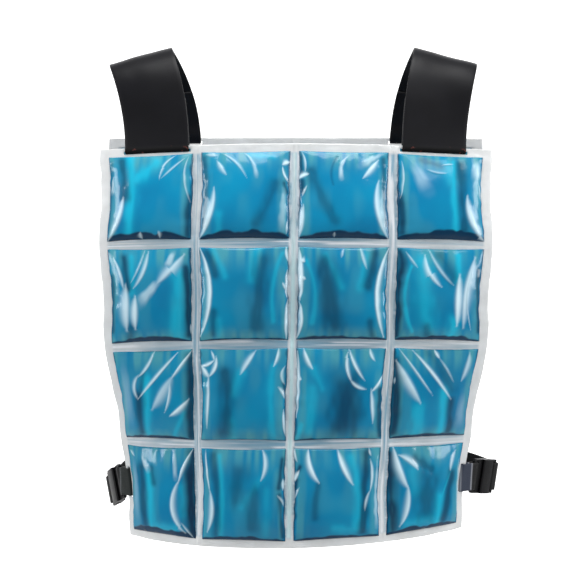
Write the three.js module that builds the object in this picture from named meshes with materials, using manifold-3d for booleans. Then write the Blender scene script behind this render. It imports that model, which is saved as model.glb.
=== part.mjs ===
// A cooling vest as it is worn: two clear film panels, each welded into a grid of pouches filled with a
// blue cooling liquid, joined by two wide shoulder straps and, at the waist, by two short buckled belts.
// Millimetres, +Z up, the front faces -Y. The origin is where the straps sit on the shoulders, midway
// between them. Left and right are those of someone who looks at the front.
import * as THREE from 'three';
import { mergeVertices } from 'three/addons/utils/BufferGeometryUtils.js';
import Module from 'manifold-3d';

// The flat film panel.
const ROWS = 4;
const COLUMNS = 4;
const POUCH_WIDTH = 93;
const POUCH_HEIGHT = 94;
const SEAM = 7;
const TOP_FLANGE = 7.5;
const BOTTOM_FLANGE = 6.5;
const FILM = 1.2; // both films together, where they are welded
const SLOT_BAR = 3.5; // the film left outside a slot
const SLOT_MARGIN = 1.5; // the film left between a slot and a pouch
const SLOT_PLAY = 2; // a slot is this much longer than its strap or web at each end
const PINCH = 1.5; // how far a pouch's edges draw in between its corners

// The filled pouches.
const OUTER_BULGE = 8;
const INNER_BULGE = 5.5;
const SETTLING = 0.22; // the liquid sinks, so a pouch is this share fuller low down
const POUCH_RIM = 1; // thickness at a pouch's edge
const POUCH_STEPS = 5;

// How the panels hang on the wearer.
const CHEST_DEPTH = 220; // from the front film to the back film at the chest
const FRONT_TOP = -96; // height of the front panel's top edge
const BACK_TOP = -77;
const SCALLOP = 0.012; // share of a panel's width that filling draws in, between two seam rows

// The shoulder straps.
const STRAP_WIDTH = 68;
const STRAP_THICKNESS = 1.8;
const SHOULDER_SLOPE = 15; // degrees
const STRAP_TAIL = 52; // the end that is turned back inside
const STRAP_UPRIGHT = 0.62; // share of its rise that a strap climbs straight up the chest
const STRAP_LEVEL = 0.54; // share of half the chest's depth that it runs level over the shoulder

// The side belts.
const WEB_WIDTH = 29;
const WEB_THICKNESS = 1.6;
const WEB_TAIL = 18;
const BUCKLE_LENGTH = 50;
const BUCKLE_WIDTH = 36;
const SOCKET_THICKNESS = 9;
const PLUG_THICKNESS = 3.4;
const BUCKLE_BAR = 3.2;
const BUCKLE_SLOT = 5;
const PLUG_BASE = 17; // length of the plug outside the socket
const SOCKET_WALL = 1.6;
const BUCKLE_CORNER = 2.5;
const HOUSING_SLOPE = 2; // half of the length over which the housing thins to its bar
const ARM_WIDTH = 3.6;
const BARB_LENGTH = 8;
const TONGUE_WIDTH = 5;
const STRAIGHT_WEB = 4; // the back web runs this far straight out of the socket before it bends
const WEB_PULL = 0.35; // how wide that bend is, as a share of its chord
const STITCHED_END = 13; // the end of the back web that is sewn down

const CLEARANCE = 0.3; // between pieces that touch on the real vest

const STRAP_SLOT = FILM / 2 + STRAP_THICKNESS + 4 * CLEARANCE;
const BELT_SLOT = FILM / 2 + WEB_THICKNESS + 6 * CLEARANCE;
const SIDE_FLANGE = SLOT_BAR + BELT_SLOT + SLOT_MARGIN;
const PANEL_WIDTH = COLUMNS * POUCH_WIDTH + (COLUMNS - 1) * SEAM + 2 * SIDE_FLANGE;
const PANEL_HEIGHT = ROWS * POUCH_HEIGHT + (ROWS - 1) * SEAM + TOP_FLANGE + BOTTOM_FLANGE;
const HALF_WIDTH = PANEL_WIDTH / 2;

// How a panel hangs, from its top edge down. down: share of the panel's height. fall: how far below the top
// edge that level hangs, as a share of the height. back: how far it leans to the wearer, as a share of half
// the chest's depth. turn: degrees that the sheet has turned at its side edges. gather: its width over its
// flat width. lift, tilt and slide are shares of the panel's width: rise of both side edges, further rise of
// the right one and fall of the left one, and shift of the middle to the right.
const DRAPE = [
  { down: 0, fall: 0, back: 0.245, turn: 19.7, gather: 1, lift: -0.01, tilt: 0, slide: -0.002 },
  { down: 0.25, fall: 0.241, back: 0.01, turn: 21.6, gather: 1, lift: -0.005, tilt: 0, slide: -0.006 },
  { down: 0.5, fall: 0.491, back: 0, turn: 26.3, gather: 0.985, lift: -0.01, tilt: 0.003, slide: -0.009 },
  { down: 0.75, fall: 0.741, back: 0.02, turn: 43.1, gather: 0.965, lift: 0.001, tilt: 0.003, slide: -0.015 },
  { down: 1, fall: 0.991, back: 0.04, turn: 49.9, gather: 0.955, lift: 0.02, tilt: 0.009, slide: -0.017 },
];

// How each side's belt hangs. swing: degrees that the buckle turns in from the line of the film. droop:
// degrees that its far end hangs down. loop: web from the film's edge to the buckle, as a share of the
// buckle's length.
const BELTS = [
  { side: -1, name: 'left', swing: 20, droop: 20, loop: 0.2 },
  { side: 1, name: 'right', swing: 14, droop: 9, loop: 0.26 },
];

// The two panels. strap: from the middle of the outer column in to the strap's middle, as a share of a
// pouch's width. belt: where the belt slots are, as a share of the panel's height.
const PANELS = [
  { name: 'front', facing: -1, top: FRONT_TOP, strap: 0.075, belt: 0.857 },
  { name: 'back', facing: 1, top: BACK_TOP, strap: 0.13, belt: 0.885 },
];

// reach: from the middle of the vest to a strap's middle, at the top of the shoulder, as a share of half
// the panel's width.
const STRAPS = [
  { side: -1, name: 'left', reach: 0.793 },
  { side: 1, name: 'right', reach: 0.764 },
];

const clearFilm = new THREE.MeshStandardMaterial({ color: 0xe3e4df, roughness: 0.2, metalness: 0 });
const blueLiquid = new THREE.MeshStandardMaterial({ color: 0x1287b5, roughness: 0.12, metalness: 0 });
const blackStrap = new THREE.MeshStandardMaterial({ color: 0x1b1b1f, roughness: 0.45, metalness: 0 });
const blackWeb = new THREE.MeshStandardMaterial({ color: 0x121214, roughness: 0.8, metalness: 0 });
const blackPlastic = new THREE.MeshStandardMaterial({ color: 0x18181c, roughness: 0.3, metalness: 0 });

const wasm = await Module();
wasm.setup();

// A column of a table between its rows, on a smooth curve that runs straight out at both ends.
function between(table, column, share) {
  const spans = table.length - 1;
  const at = Math.min(Math.max(share * spans, 0), spans - 1e-9);
  const row = Math.floor(at);
  const t = at - row;
  const value = (i) => {
    if (i < 0) return 2 * table[0][column] - table[1][column];
    if (i > spans) return 2 * table[spans][column] - table[spans - 1][column];
    return table[i][column];
  };
  const start = value(row);
  const end = value(row + 1);
  const startSlope = (end - value(row - 1)) / 2;
  const endSlope = (value(row + 2) - start) / 2;
  const t2 = t * t;
  const t3 = t2 * t;
  return (2 * t3 - 3 * t2 + 1) * start + (t3 - 2 * t2 + t) * startSlope
    + (3 * t2 - 2 * t3) * end + (t3 - t2) * endSlope;
}

// Where the flat sheet's point u across from its middle and v down from its top edge hangs in space.
function hang(panel, u, v) {
  const down = v / PANEL_HEIGHT;
  const across = u / HALF_WIDTH;
  const turn = THREE.MathUtils.degToRad(between(DRAPE, 'turn', down));
  const scallop = SCALLOP * Math.sin(Math.PI * ROWS * down) ** 2;
  const radius = HALF_WIDTH * (between(DRAPE, 'gather', down) - scallop) / turn;
  const slide = PANEL_WIDTH * between(DRAPE, 'slide', down) * (1 - across * across);
  const back = CHEST_DEPTH / 2 * between(DRAPE, 'back', down) + radius * (1 - Math.cos(turn * across));
  const rise = PANEL_WIDTH * across * (between(DRAPE, 'lift', down) * across + between(DRAPE, 'tilt', down));
  return new THREE.Vector3(
    radius * Math.sin(turn * across) + slide,
    panel.facing * (CHEST_DEPTH / 2 - back),
    panel.top - PANEL_HEIGHT * between(DRAPE, 'fall', down) + rise,
  );
}

// The same with the sheet's own directions there: across it, down it and out from the wearer.
function drape(panel, u, v) {
  const step = 0.5;
  const across = hang(panel, u + step, v).sub(hang(panel, u - step, v)).normalize();
  const down = hang(panel, u, v + step).sub(hang(panel, u, v - step)).normalize();
  const out = new THREE.Vector3().crossVectors(across, down).multiplyScalar(panel.facing).normalize();
  return { point: hang(panel, u, v), across, down, out };
}

// Evenly spaced values from start to end, both included.
function spaced(start, end, steps) {
  return Array.from({ length: steps + 1 }, (_, i) => start + (end - start) * i / steps);
}

// Values from start to end that lie closer together towards both ends.
function eased(start, end) {
  const middle = (start + end) / 2;
  const angles = spaced(-Math.PI / 2, Math.PI / 2, POUCH_STEPS);
  return angles.map((angle) => middle + (end - middle) * Math.sin(angle));
}

// The flat box of a pouch, with its grid lines across (us) and down (vs). The outer columns start lower,
// below the slots for the straps.
function pouchBox(row, column) {
  const left = -HALF_WIDTH + SIDE_FLANGE + column * (POUCH_WIDTH + SEAM);
  const top = TOP_FLANGE + row * (POUCH_HEIGHT + SEAM);
  const us = eased(left, left + POUCH_WIDTH);
  const vs = eased(top, top + POUCH_HEIGHT);
  if (row === 0 && (column === 0 || column === COLUMNS - 1)) vs[0] = SLOT_BAR + STRAP_SLOT + SLOT_MARGIN;
  return { us, vs, left, right: us.at(-1), top: vs[0], bottom: vs.at(-1) };
}

// Draws a point on a pouch's outline in towards the pouch's middle, most between two corners.
function pinched(box, u, v) {
  const a = (2 * u - box.left - box.right) / (box.right - box.left);
  const b = (2 * v - box.top - box.bottom) / (box.bottom - box.top);
  return {
    u: u - PINCH * Math.sign(a) * Math.abs(a) ** 3 * (1 - b * b),
    v: v - PINCH * Math.sign(b) * Math.abs(b) ** 3 * (1 - a * a),
  };
}

// A closed mesh with its faces out, from flat lists of positions and triangle corners.
function closedGeometry(positions, corners) {
  const geometry = new THREE.BufferGeometry();
  geometry.setAttribute('position', new THREE.Float32BufferAttribute(positions, 3));
  let volume = 0;
  const [a, b, c] = [new THREE.Vector3(), new THREE.Vector3(), new THREE.Vector3()];
  const position = geometry.getAttribute('position');
  for (let i = 0; i < corners.length; i += 3) {
    a.fromBufferAttribute(position, corners[i]);
    b.fromBufferAttribute(position, corners[i + 1]);
    c.fromBufferAttribute(position, corners[i + 2]);
    volume += a.dot(b.cross(c));
  }
  geometry.setIndex(volume < 0 ? corners.reverse() : corners);
  geometry.computeVertexNormals();
  return geometry;
}

// A thick sheet over a grid of lines. isThere says which spans of the grid hold material, and place puts
// a grid point's outer (side 1) or inner (side -1) corner in space.
function thickSheet(uLines, vLines, isThere, place) {
  const positions = [];
  const corners = [];
  const used = new Map();
  const corner = (i, j, side) => {
    const key = `${i} ${j} ${side}`;
    if (!used.has(key)) {
      used.set(key, positions.length / 3);
      positions.push(...place(uLines[i], vLines[j], side).toArray());
    }
    return used.get(key);
  };
  const quad = (p, q, r, s) => corners.push(p, q, r, p, r, s);
  const filled = (i, j) => i >= 0 && j >= 0 && i < uLines.length - 1 && j < vLines.length - 1
    && isThere((uLines[i] + uLines[i + 1]) / 2, (vLines[j] + vLines[j + 1]) / 2);
  for (let i = 0; i < uLines.length - 1; i += 1) {
    for (let j = 0; j < vLines.length - 1; j += 1) {
      if (!filled(i, j)) continue;
      const outline = [[i, j], [i, j + 1], [i + 1, j + 1], [i + 1, j]];
      const beyond = [filled(i - 1, j), filled(i, j + 1), filled(i + 1, j), filled(i, j - 1)];
      quad(...outline.map(([x, y]) => corner(x, y, 1)));
      quad(...outline.map(([x, y]) => corner(x, y, -1)).reverse());
      beyond.forEach((neighbour, k) => {
        const [from, to] = [outline[k], outline[(k + 1) % 4]];
        if (!neighbour) quad(corner(...from, -1), corner(...to, -1), corner(...to, 1), corner(...from, 1));
      });
    }
  }
  return closedGeometry(positions, corners);
}

// To and from the solids that are joined and cut.
function solidOf(geometry) {
  const bare = geometry.clone();
  for (const name of ['normal', 'uv']) bare.deleteAttribute(name);
  const merged = mergeVertices(bare, 1e-4);
  return new wasm.Manifold(new wasm.Mesh({
    numProp: 3,
    vertProperties: merged.getAttribute('position').array,
    triVerts: new Uint32Array(merged.index.array),
  }));
}

function geometryOf(solid) {
  const mesh = solid.getMesh();
  const geometry = new THREE.BufferGeometry();
  geometry.setAttribute('position', new THREE.Float32BufferAttribute(mesh.vertProperties, 3));
  geometry.setIndex([...mesh.triVerts]);
  geometry.computeVertexNormals();
  return geometry;
}

function sortedLines(values) {
  const sorted = values.map((x) => Math.round(x * 1000) / 1000).sort((x, y) => x - y);
  return sorted.filter((x, i) => i === 0 || x - sorted[i - 1] > 0.01);
}

// The slots for the straps and belts, as boxes on the flat sheet.
const STRAP_SLOT_HALF = STRAP_WIDTH / 2 + SLOT_PLAY;
const BELT_SLOT_HALF = WEB_WIDTH / 2 + SLOT_PLAY;
const strapAt = (panel) => HALF_WIDTH - SIDE_FLANGE - POUCH_WIDTH * (0.5 + panel.strap);
const slotsOf = (panel) => [-1, 1].flatMap((side) => {
  const beltSlot = [side * (HALF_WIDTH - SLOT_BAR), side * (HALF_WIDTH - SLOT_BAR - BELT_SLOT)];
  const beltLevel = panel.belt * PANEL_HEIGHT;
  return [
    {
      left: side * strapAt(panel) - STRAP_SLOT_HALF,
      right: side * strapAt(panel) + STRAP_SLOT_HALF,
      top: SLOT_BAR,
      bottom: SLOT_BAR + STRAP_SLOT,
      steps: { across: 4, down: 1 },
    },
    {
      left: Math.min(...beltSlot),
      right: Math.max(...beltSlot),
      top: beltLevel - BELT_SLOT_HALF,
      bottom: beltLevel + BELT_SLOT_HALF,
      steps: { across: 1, down: 2 },
    },
  ];
});

// The welded film of a panel: flanges and seams, with a hole for each pouch, and its slots cut through.
function film(panel) {
  const boxes = [];
  for (let row = 0; row < ROWS; row += 1) {
    for (let column = 0; column < COLUMNS; column += 1) boxes.push(pouchBox(row, column));
  }
  const uLines = sortedLines([-HALF_WIDTH, HALF_WIDTH, ...boxes.flatMap((box) => box.us)]);
  const vLines = sortedLines([0, PANEL_HEIGHT, ...boxes.flatMap((box) => box.vs)]);
  const sheet = thickSheet(
    uLines,
    vLines,
    (u, v) => !boxes.some((box) => u > box.left && u < box.right && v > box.top && v < box.bottom),
    (u, v, side) => {
      const box = boxes.find((b) => u >= b.left - 0.01 && u <= b.right + 0.01
        && v >= b.top - 0.01 && v <= b.bottom + 0.01);
      const at = box ? pinched(box, u, v) : { u, v };
      const { point, out } = drape(panel, at.u, at.v);
      return point.addScaledVector(out, side * FILM / 2);
    },
  );
  const cutters = slotsOf(panel).map((slot) => thickSheet(
    spaced(slot.left, slot.right, slot.steps.across),
    spaced(slot.top, slot.bottom, slot.steps.down),
    () => true,
    (u, v, side) => {
      const { point, out } = drape(panel, u, v);
      return point.addScaledVector(out, side * 3 * FILM);
    },
  ));
  return geometryOf(cutters.reduce((solid, cutter) => solid.subtract(solidOf(cutter)), solidOf(sheet)));
}

// A filled pouch, thickest in the middle and a little below it.
function pouch(panel, row, column) {
  const box = pouchBox(row, column);
  const inset = (lines) => [lines[0] + CLEARANCE, ...lines.slice(1, -1), lines.at(-1) - CLEARANCE];
  const [us, vs] = [inset(box.us), inset(box.vs)];
  const across = (u) => (2 * u - us[0] - us.at(-1)) / (us.at(-1) - us[0]);
  const down = (v) => (2 * v - vs[0] - vs.at(-1)) / (vs.at(-1) - vs[0]);
  return thickSheet(us, vs, () => true, (u, v, side) => {
    const at = pinched(box, u, v);
    const { point, out } = drape(panel, at.u, at.v);
    const fullness = Math.max(0, (1 - across(u) ** 2) * (1 - down(v) ** 2));
    const swell = Math.sqrt(fullness) * (1 + SETTLING * down(v));
    const bulge = side > 0 ? OUTER_BULGE : INNER_BULGE;
    return point.addScaledVector(out, side * (POUCH_RIM / 2 + bulge * swell));
  });
}

// A band. Each station has the band's middle, at, the direction of its width, across, and bow, how far its
// two edges bend away from the middle.
function band(stations, width, thickness, closed = false) {
  const count = stations.length;
  const profile = [[-1, -1], [0, -1], [1, -1], [1, 1], [0, 1], [-1, 1]];
  const sides = profile.length;
  const positions = [];
  const corners = [];
  stations.forEach((station, i) => {
    const before = stations[closed ? (i + count - 1) % count : Math.max(i - 1, 0)];
    const after = stations[closed ? (i + 1) % count : Math.min(i + 1, count - 1)];
    const along = after.at.clone().sub(before.at).normalize();
    const normal = new THREE.Vector3().crossVectors(along, station.across).normalize();
    for (const [w, n] of profile) {
      positions.push(...station.at.clone()
        .addScaledVector(station.across, w * width / 2)
        .addScaledVector(normal, n * thickness / 2)
        .addScaledVector(station.bow, w * w)
        .toArray());
    }
  });
  for (let i = 0; i < (closed ? count : count - 1); i += 1) {
    const next = (i + 1) % count;
    for (let k = 0; k < sides; k += 1) {
      const [p, q] = [sides * i + k, sides * i + (k + 1) % sides];
      const [r, s] = [sides * next + (k + 1) % sides, sides * next + k];
      corners.push(p, q, r, p, r, s);
    }
  }
  if (!closed) {
    const cap = [0, 5, 4, 0, 4, 1, 1, 4, 3, 1, 3, 2];
    const last = sides * (count - 1);
    corners.push(...cap, ...cap.toReversed().map((corner) => last + corner));
  }
  return closedGeometry(positions, corners);
}

// How far the film's surface bends away from a band that lies on it, at the band's edges.
function bowOf(panel, from, middle, to) {
  return hang(panel, ...from).add(hang(panel, ...to)).multiplyScalar(0.5).sub(hang(panel, ...middle));
}

// A band that runs along a path from one bar to another. At each end it turns round a bar of film or
// plastic and comes back along itself, on the side that tailSide says: 1 outside, -1 inside. Each end has the
// directions across and out there, its bow, its turnRadius, the bar's width, the length of its tail and its
// ease, the length over which the tail and the band close up.
function threadedBand(path, ends, crest, { width, thickness, steps, tailSide }) {
  const total = path.getLength();
  const frameAt = (distance) => {
    const share = THREE.MathUtils.clamp(distance / total, 0, 1);
    const along = path.getTangentAt(share);
    const end = ends[share < crest.share ? 0 : 1];
    const toCrest = share < crest.share ? share / crest.share : (1 - share) / (1 - crest.share);
    const mix = THREE.MathUtils.smoothstep(toCrest, 0, 1);
    const across = end.across.clone().lerp(crest.across, mix).normalize();
    const normal = new THREE.Vector3().crossVectors(across, along).normalize();
    const beyond = distance - share * total;
    const at = path.getPointAt(share).addScaledVector(along, beyond);
    return { at, across, normal, bow: end.bow.clone().multiplyScalar(1 - mix) };
  };
  const toTail = tailSide * Math.sign(frameAt(0).normal.dot(ends[0].out));
  const lap = thickness + CLEARANCE;
  const routeOf = ({ turnRadius, bar, tail, ease }) => [
    ...spaced(tail, bar + ease, 3).map((distance) => [distance, lap]),
    ...spaced(0.75, 0, 3).map((share) => {
      const apart = THREE.MathUtils.smoothstep(1 - share, 0, 1);
      return [bar + share * ease, THREE.MathUtils.lerp(lap, 2 * turnRadius, apart)];
    }),
    ...spaced(0, Math.PI, 6).map((angle) => [
      -CLEARANCE - turnRadius * Math.sin(angle),
      turnRadius * (1 + Math.cos(angle)),
    ]),
  ];
  const [start, finish] = ends.map(routeOf);
  const route = [
    ...start,
    ...spaced(ends[0].bar, total - ends[1].bar, steps).map((distance) => [distance, 0]),
    ...finish.toReversed().map(([distance, depth]) => [total - distance, depth]),
  ];
  const stations = route.map(([distance, depth]) => {
    const { at, across, normal, bow } = frameAt(distance);
    return { at: at.addScaledVector(normal, toTail * depth), across, bow };
  });
  return band(stations, width, thickness);
}

const FILM_HOLD = SLOT_BAR + CLEARANCE;
const STRAP_EASE = 2 * TOP_FLANGE;

// A shoulder strap runs up outside the front film, over the shoulder and down outside the back film.
function shoulderStrap({ side, reach }) {
  const slope = THREE.MathUtils.degToRad(SHOULDER_SLOPE);
  const turnRadius = FILM / 2 + 1.5 * CLEARANCE + STRAP_THICKNESS / 2;
  const half = STRAP_WIDTH / 2;
  const ends = PANELS.map((panel) => {
    const middle = side * strapAt(panel);
    const { point, across, down, out } = drape(panel, middle, SLOT_BAR);
    const bow = bowOf(panel, [middle - half, SLOT_BAR], [middle, SLOT_BAR], [middle + half, SLOT_BAR]);
    const start = point.clone().addScaledVector(out, turnRadius);
    return { start, across, down, out, bow, turnRadius, bar: FILM_HOLD, tail: STRAP_TAIL, ease: STRAP_EASE };
  });
  const top = new THREE.Vector3(side * reach * HALF_WIDTH, 0, STRAP_THICKNESS / 2);
  const path = new THREE.CurvePath();
  const half1 = strapHalf(ends[0], top, PANELS[0].facing);
  const half2 = strapHalf(ends[1], top, PANELS[1].facing);
  path.add(half1);
  path.add(new THREE.CubicBezierCurve3(half2.v3, half2.v2, half2.v1, half2.v0));
  const crest = {
    share: half1.getLength() / path.getLength(),
    across: new THREE.Vector3(Math.cos(slope), 0, -side * Math.sin(slope)),
  };
  return threadedBand(path, ends, crest, {
    width: STRAP_WIDTH,
    thickness: STRAP_THICKNESS,
    steps: 22,
    tailSide: -1,
  });
}

// From a panel's slot up to the top of the shoulder.
function strapHalf(end, top, facing) {
  const rise = (top.z - end.start.z) * STRAP_UPRIGHT;
  const reach = new THREE.Vector3(0, facing * CHEST_DEPTH / 2 * STRAP_LEVEL, 0);
  return new THREE.CubicBezierCurve3(
    end.start,
    end.start.clone().addScaledVector(end.down, -rise),
    top.clone().add(reach),
    top,
  );
}

// Where a belt leaves a film: at its slot, away along the film, out from the wearer, and up.
function beltExit(panel, side) {
  const slotEdge = side * (HALF_WIDTH - SLOT_BAR);
  const level = panel.belt * PANEL_HEIGHT;
  const { point, across, down, out } = drape(panel, slotEdge, level);
  const away = across.clone().multiplyScalar(side);
  const up = down.clone().negate();
  const half = WEB_WIDTH / 2;
  const bow = bowOf(panel, [slotEdge, level - half], [slotEdge, level], [slotEdge, level + half]);
  return { point, away, out, up, bow };
}

// Where a fastened buckle lies: from where, along its length, out from the wearer, and up.
function buckleSeat(belt) {
  const exit = beltExit(PANELS[0], belt.side);
  const swing = THREE.MathUtils.degToRad(belt.swing);
  const droop = THREE.MathUtils.degToRad(belt.droop);
  const level = exit.away.clone().multiplyScalar(Math.cos(swing)).addScaledVector(exit.out, -Math.sin(swing));
  const along = level.multiplyScalar(Math.cos(droop)).addScaledVector(exit.up, -Math.sin(droop)).normalize();
  const out = new THREE.Vector3().crossVectors(along, exit.up).multiplyScalar(belt.side).normalize();
  const up = new THREE.Vector3().crossVectors(out, along).multiplyScalar(belt.side).normalize();
  const start = exit.point.clone().addScaledVector(exit.away, SLOT_BAR + belt.loop * BUCKLE_LENGTH);
  return { exit, start, along, out, up };
}

const FILM_TURN = FILM / 2 + 2.5 * CLEARANCE + WEB_THICKNESS / 2;
const BAR_TURN = PLUG_THICKNESS / 2 + CLEARANCE + WEB_THICKNESS / 2;
const BAR_HOLD = BUCKLE_BAR + 2 * CLEARANCE;
const WEB_EASE = 2 * BUCKLE_BAR;

// The short loop of web round the front film's bar and the plug's bar.
function frontWeb(belt) {
  const { exit, start, along, out, up } = buckleSeat(belt);
  const atFilm = exit.point.clone().addScaledVector(exit.away, -CLEARANCE);
  const atPlug = start.clone().addScaledVector(along, BUCKLE_BAR + CLEARANCE);
  const onFilm = (away, out) => ({
    at: atFilm.clone().addScaledVector(exit.away, away).addScaledVector(exit.out, out),
    across: exit.up,
    bow: exit.bow,
  });
  const roundFilm = [
    onFilm(SLOT_BAR + 3 * CLEARANCE, FILM_TURN),
    ...spaced(Math.PI / 2, 3 * Math.PI / 2, 6)
      .map((angle) => onFilm(FILM_TURN * Math.cos(angle), FILM_TURN * Math.sin(angle))),
    onFilm(SLOT_BAR + 3 * CLEARANCE, -FILM_TURN),
  ];
  const onPlug = (inwards, outwards) => ({
    at: atPlug.clone().addScaledVector(along, inwards).addScaledVector(out, outwards),
    across: up,
    bow: new THREE.Vector3(),
  });
  const roundPlug = [
    onPlug(-BAR_HOLD, -BAR_TURN),
    ...spaced(-Math.PI / 2, Math.PI / 2, 6)
      .map((angle) => onPlug(BAR_TURN * Math.cos(angle), BAR_TURN * Math.sin(angle))),
    onPlug(-BAR_HOLD, BAR_TURN),
  ];
  return band([...roundFilm, ...roundPlug], WEB_WIDTH, WEB_THICKNESS, true);
}

// The web from the socket's bar to the back film, with its free tail at the socket.
function backWeb(belt) {
  const seat = buckleSeat(belt);
  const exit = beltExit(PANELS[1], belt.side);
  const start = seat.start.clone()
    .addScaledVector(seat.along, BUCKLE_LENGTH - BUCKLE_BAR)
    .addScaledVector(seat.out, -BAR_TURN);
  const finish = exit.point.clone().addScaledVector(exit.out, -FILM_TURN);
  const bend = start.clone().addScaledVector(seat.along, STRAIGHT_WEB);
  const edge = finish.clone().addScaledVector(exit.away, FILM_HOLD);
  const pull = bend.distanceTo(edge) * WEB_PULL;
  const path = new THREE.CurvePath();
  path.add(new THREE.LineCurve3(start, bend));
  path.add(new THREE.CubicBezierCurve3(
    bend,
    bend.clone().addScaledVector(seat.along, pull),
    edge.clone().addScaledVector(exit.away, pull),
    edge,
  ));
  path.add(new THREE.LineCurve3(edge, finish));
  const ends = [
    {
      across: seat.up,
      out: seat.out,
      bow: new THREE.Vector3(),
      turnRadius: BAR_TURN,
      bar: BAR_HOLD,
      tail: WEB_TAIL,
      ease: WEB_EASE,
    },
    {
      across: exit.up,
      out: exit.out,
      bow: exit.bow,
      turnRadius: FILM_TURN,
      bar: FILM_HOLD,
      tail: STITCHED_END,
      ease: WEB_EASE,
    },
  ];
  const crest = { share: 0.5, across: seat.up.clone().add(exit.up).normalize() };
  return threadedBand(path, ends, crest, {
    width: WEB_WIDTH,
    thickness: WEB_THICKNESS,
    steps: 12,
    tailSide: 1,
  });
}

// A box between two corners.
function block(from, to) {
  const size = to.map((x, i) => x - from[i]);
  const geometry = new THREE.BoxGeometry(...size);
  geometry.translate(...to.map((x, i) => (x + from[i]) / 2));
  return solidOf(geometry);
}

// An outline on the buckle's length (x) and width (z), given thickness through its middle plane.
function plate(points, thickness) {
  const shape = new THREE.Shape(points.map(([x, z]) => new THREE.Vector2(x, z)));
  const geometry = new THREE.ExtrudeGeometry(shape, { depth: thickness, bevelEnabled: false });
  geometry.translate(0, 0, -thickness / 2);
  geometry.rotateX(Math.PI / 2);
  return solidOf(geometry);
}

const HALF_BUCKLE = BUCKLE_WIDTH / 2;
const SLOT_IN_BUCKLE = WEB_WIDTH / 2 + 1;
const SHOULDER = BUCKLE_LENGTH - BUCKLE_BAR - BUCKLE_SLOT - BUCKLE_CORNER; // where the socket's housing ends

// The plug: a bar and a slot for the web, a base, a middle tongue and two springy arms with barbs.
function plug() {
  const tip = SHOULDER - 2 * CLEARANCE;
  const barb = tip - BARB_LENGTH;
  const root = PLUG_BASE - 1;
  const armOut = HALF_BUCKLE - SOCKET_WALL - 2 * CLEARANCE;
  const barbOut = HALF_BUCKLE - CLEARANCE;
  const armOutline = (side) => [
    [root, side * (armOut - ARM_WIDTH)],
    [tip, side * (armOut - ARM_WIDTH)],
    [tip, side * (armOut - 1)],
    [barb + 1, side * barbOut],
    [barb, side * barbOut],
    [barb, side * (armOut - 1)],
    [root, side * armOut],
  ];
  const innerThickness = PLUG_THICKNESS - 2 * CLEARANCE;
  const base = plate([
    [BUCKLE_CORNER, -HALF_BUCKLE],
    [PLUG_BASE, -HALF_BUCKLE],
    [PLUG_BASE, HALF_BUCKLE],
    [BUCKLE_CORNER, HALF_BUCKLE],
    [0, HALF_BUCKLE - BUCKLE_CORNER],
    [0, BUCKLE_CORNER - HALF_BUCKLE],
  ], PLUG_THICKNESS);
  const arms = plate(armOutline(1), innerThickness).add(plate(armOutline(-1).reverse(), innerThickness));
  const tongue = block(
    [root, -innerThickness / 2, -TONGUE_WIDTH / 2],
    [barb, innerThickness / 2, TONGUE_WIDTH / 2],
  );
  const slot = block(
    [BUCKLE_BAR, -PLUG_THICKNESS, -SLOT_IN_BUCKLE],
    [BUCKLE_BAR + BUCKLE_SLOT, PLUG_THICKNESS, SLOT_IN_BUCKLE],
  );
  return geometryOf(base.add(arms).add(tongue).subtract(slot));
}

// The socket: a housing that is open at the plug's end, with a window for each barb and a bar for the web.
function socket() {
  const mouth = PLUG_BASE + CLEARANCE;
  const deep = SOCKET_THICKNESS / 2;
  const thin = PLUG_THICKNESS / 2;
  const half = [
    [mouth, deep - 1],
    [mouth + 1.5, deep],
    [SHOULDER - HOUSING_SLOPE, deep],
    [SHOULDER + HOUSING_SLOPE, thin],
    [BUCKLE_LENGTH, thin],
  ];
  const outline = [...half, ...half.toReversed().map(([x, y]) => [x, -y])];
  const side = new THREE.Shape(outline.map(([x, y]) => new THREE.Vector2(x, y)));
  const housing = new THREE.ExtrudeGeometry(side, { depth: BUCKLE_WIDTH, bevelEnabled: false });
  housing.translate(0, 0, -HALF_BUCKLE);
  const inner = HALF_BUCKLE - SOCKET_WALL;
  const room = PLUG_THICKNESS / 2 + CLEARANCE;
  const barb = SHOULDER - BARB_LENGTH - 2 * CLEARANCE;
  const cavity = block([mouth - 1, -room, -inner], [SHOULDER, room, inner]);
  const windows = block([barb - 1, -room, -BUCKLE_WIDTH], [SHOULDER - HOUSING_SLOPE, room, BUCKLE_WIDTH]);
  const slot = block(
    [BUCKLE_LENGTH - BUCKLE_BAR - BUCKLE_SLOT, -deep, -SLOT_IN_BUCKLE],
    [BUCKLE_LENGTH - BUCKLE_BAR, deep, SLOT_IN_BUCKLE],
  );
  return geometryOf(solidOf(housing).subtract(cavity).subtract(windows).subtract(slot));
}

function named(name, geometry, material) {
  const mesh = new THREE.Mesh(geometry, material);
  mesh.name = name;
  return mesh;
}

// A panel: its film and its pouches.
function panelGroup(panel) {
  const group = new THREE.Group();
  group.add(named(`${panel.name}_film`, film(panel), clearFilm));
  for (let row = 0; row < ROWS; row += 1) {
    for (let column = 0; column < COLUMNS; column += 1) {
      const name = `${panel.name}_pouch_r${row + 1}_c${column + 1}`;
      group.add(named(name, pouch(panel, row, column), blueLiquid));
    }
  }
  return group;
}

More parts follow.
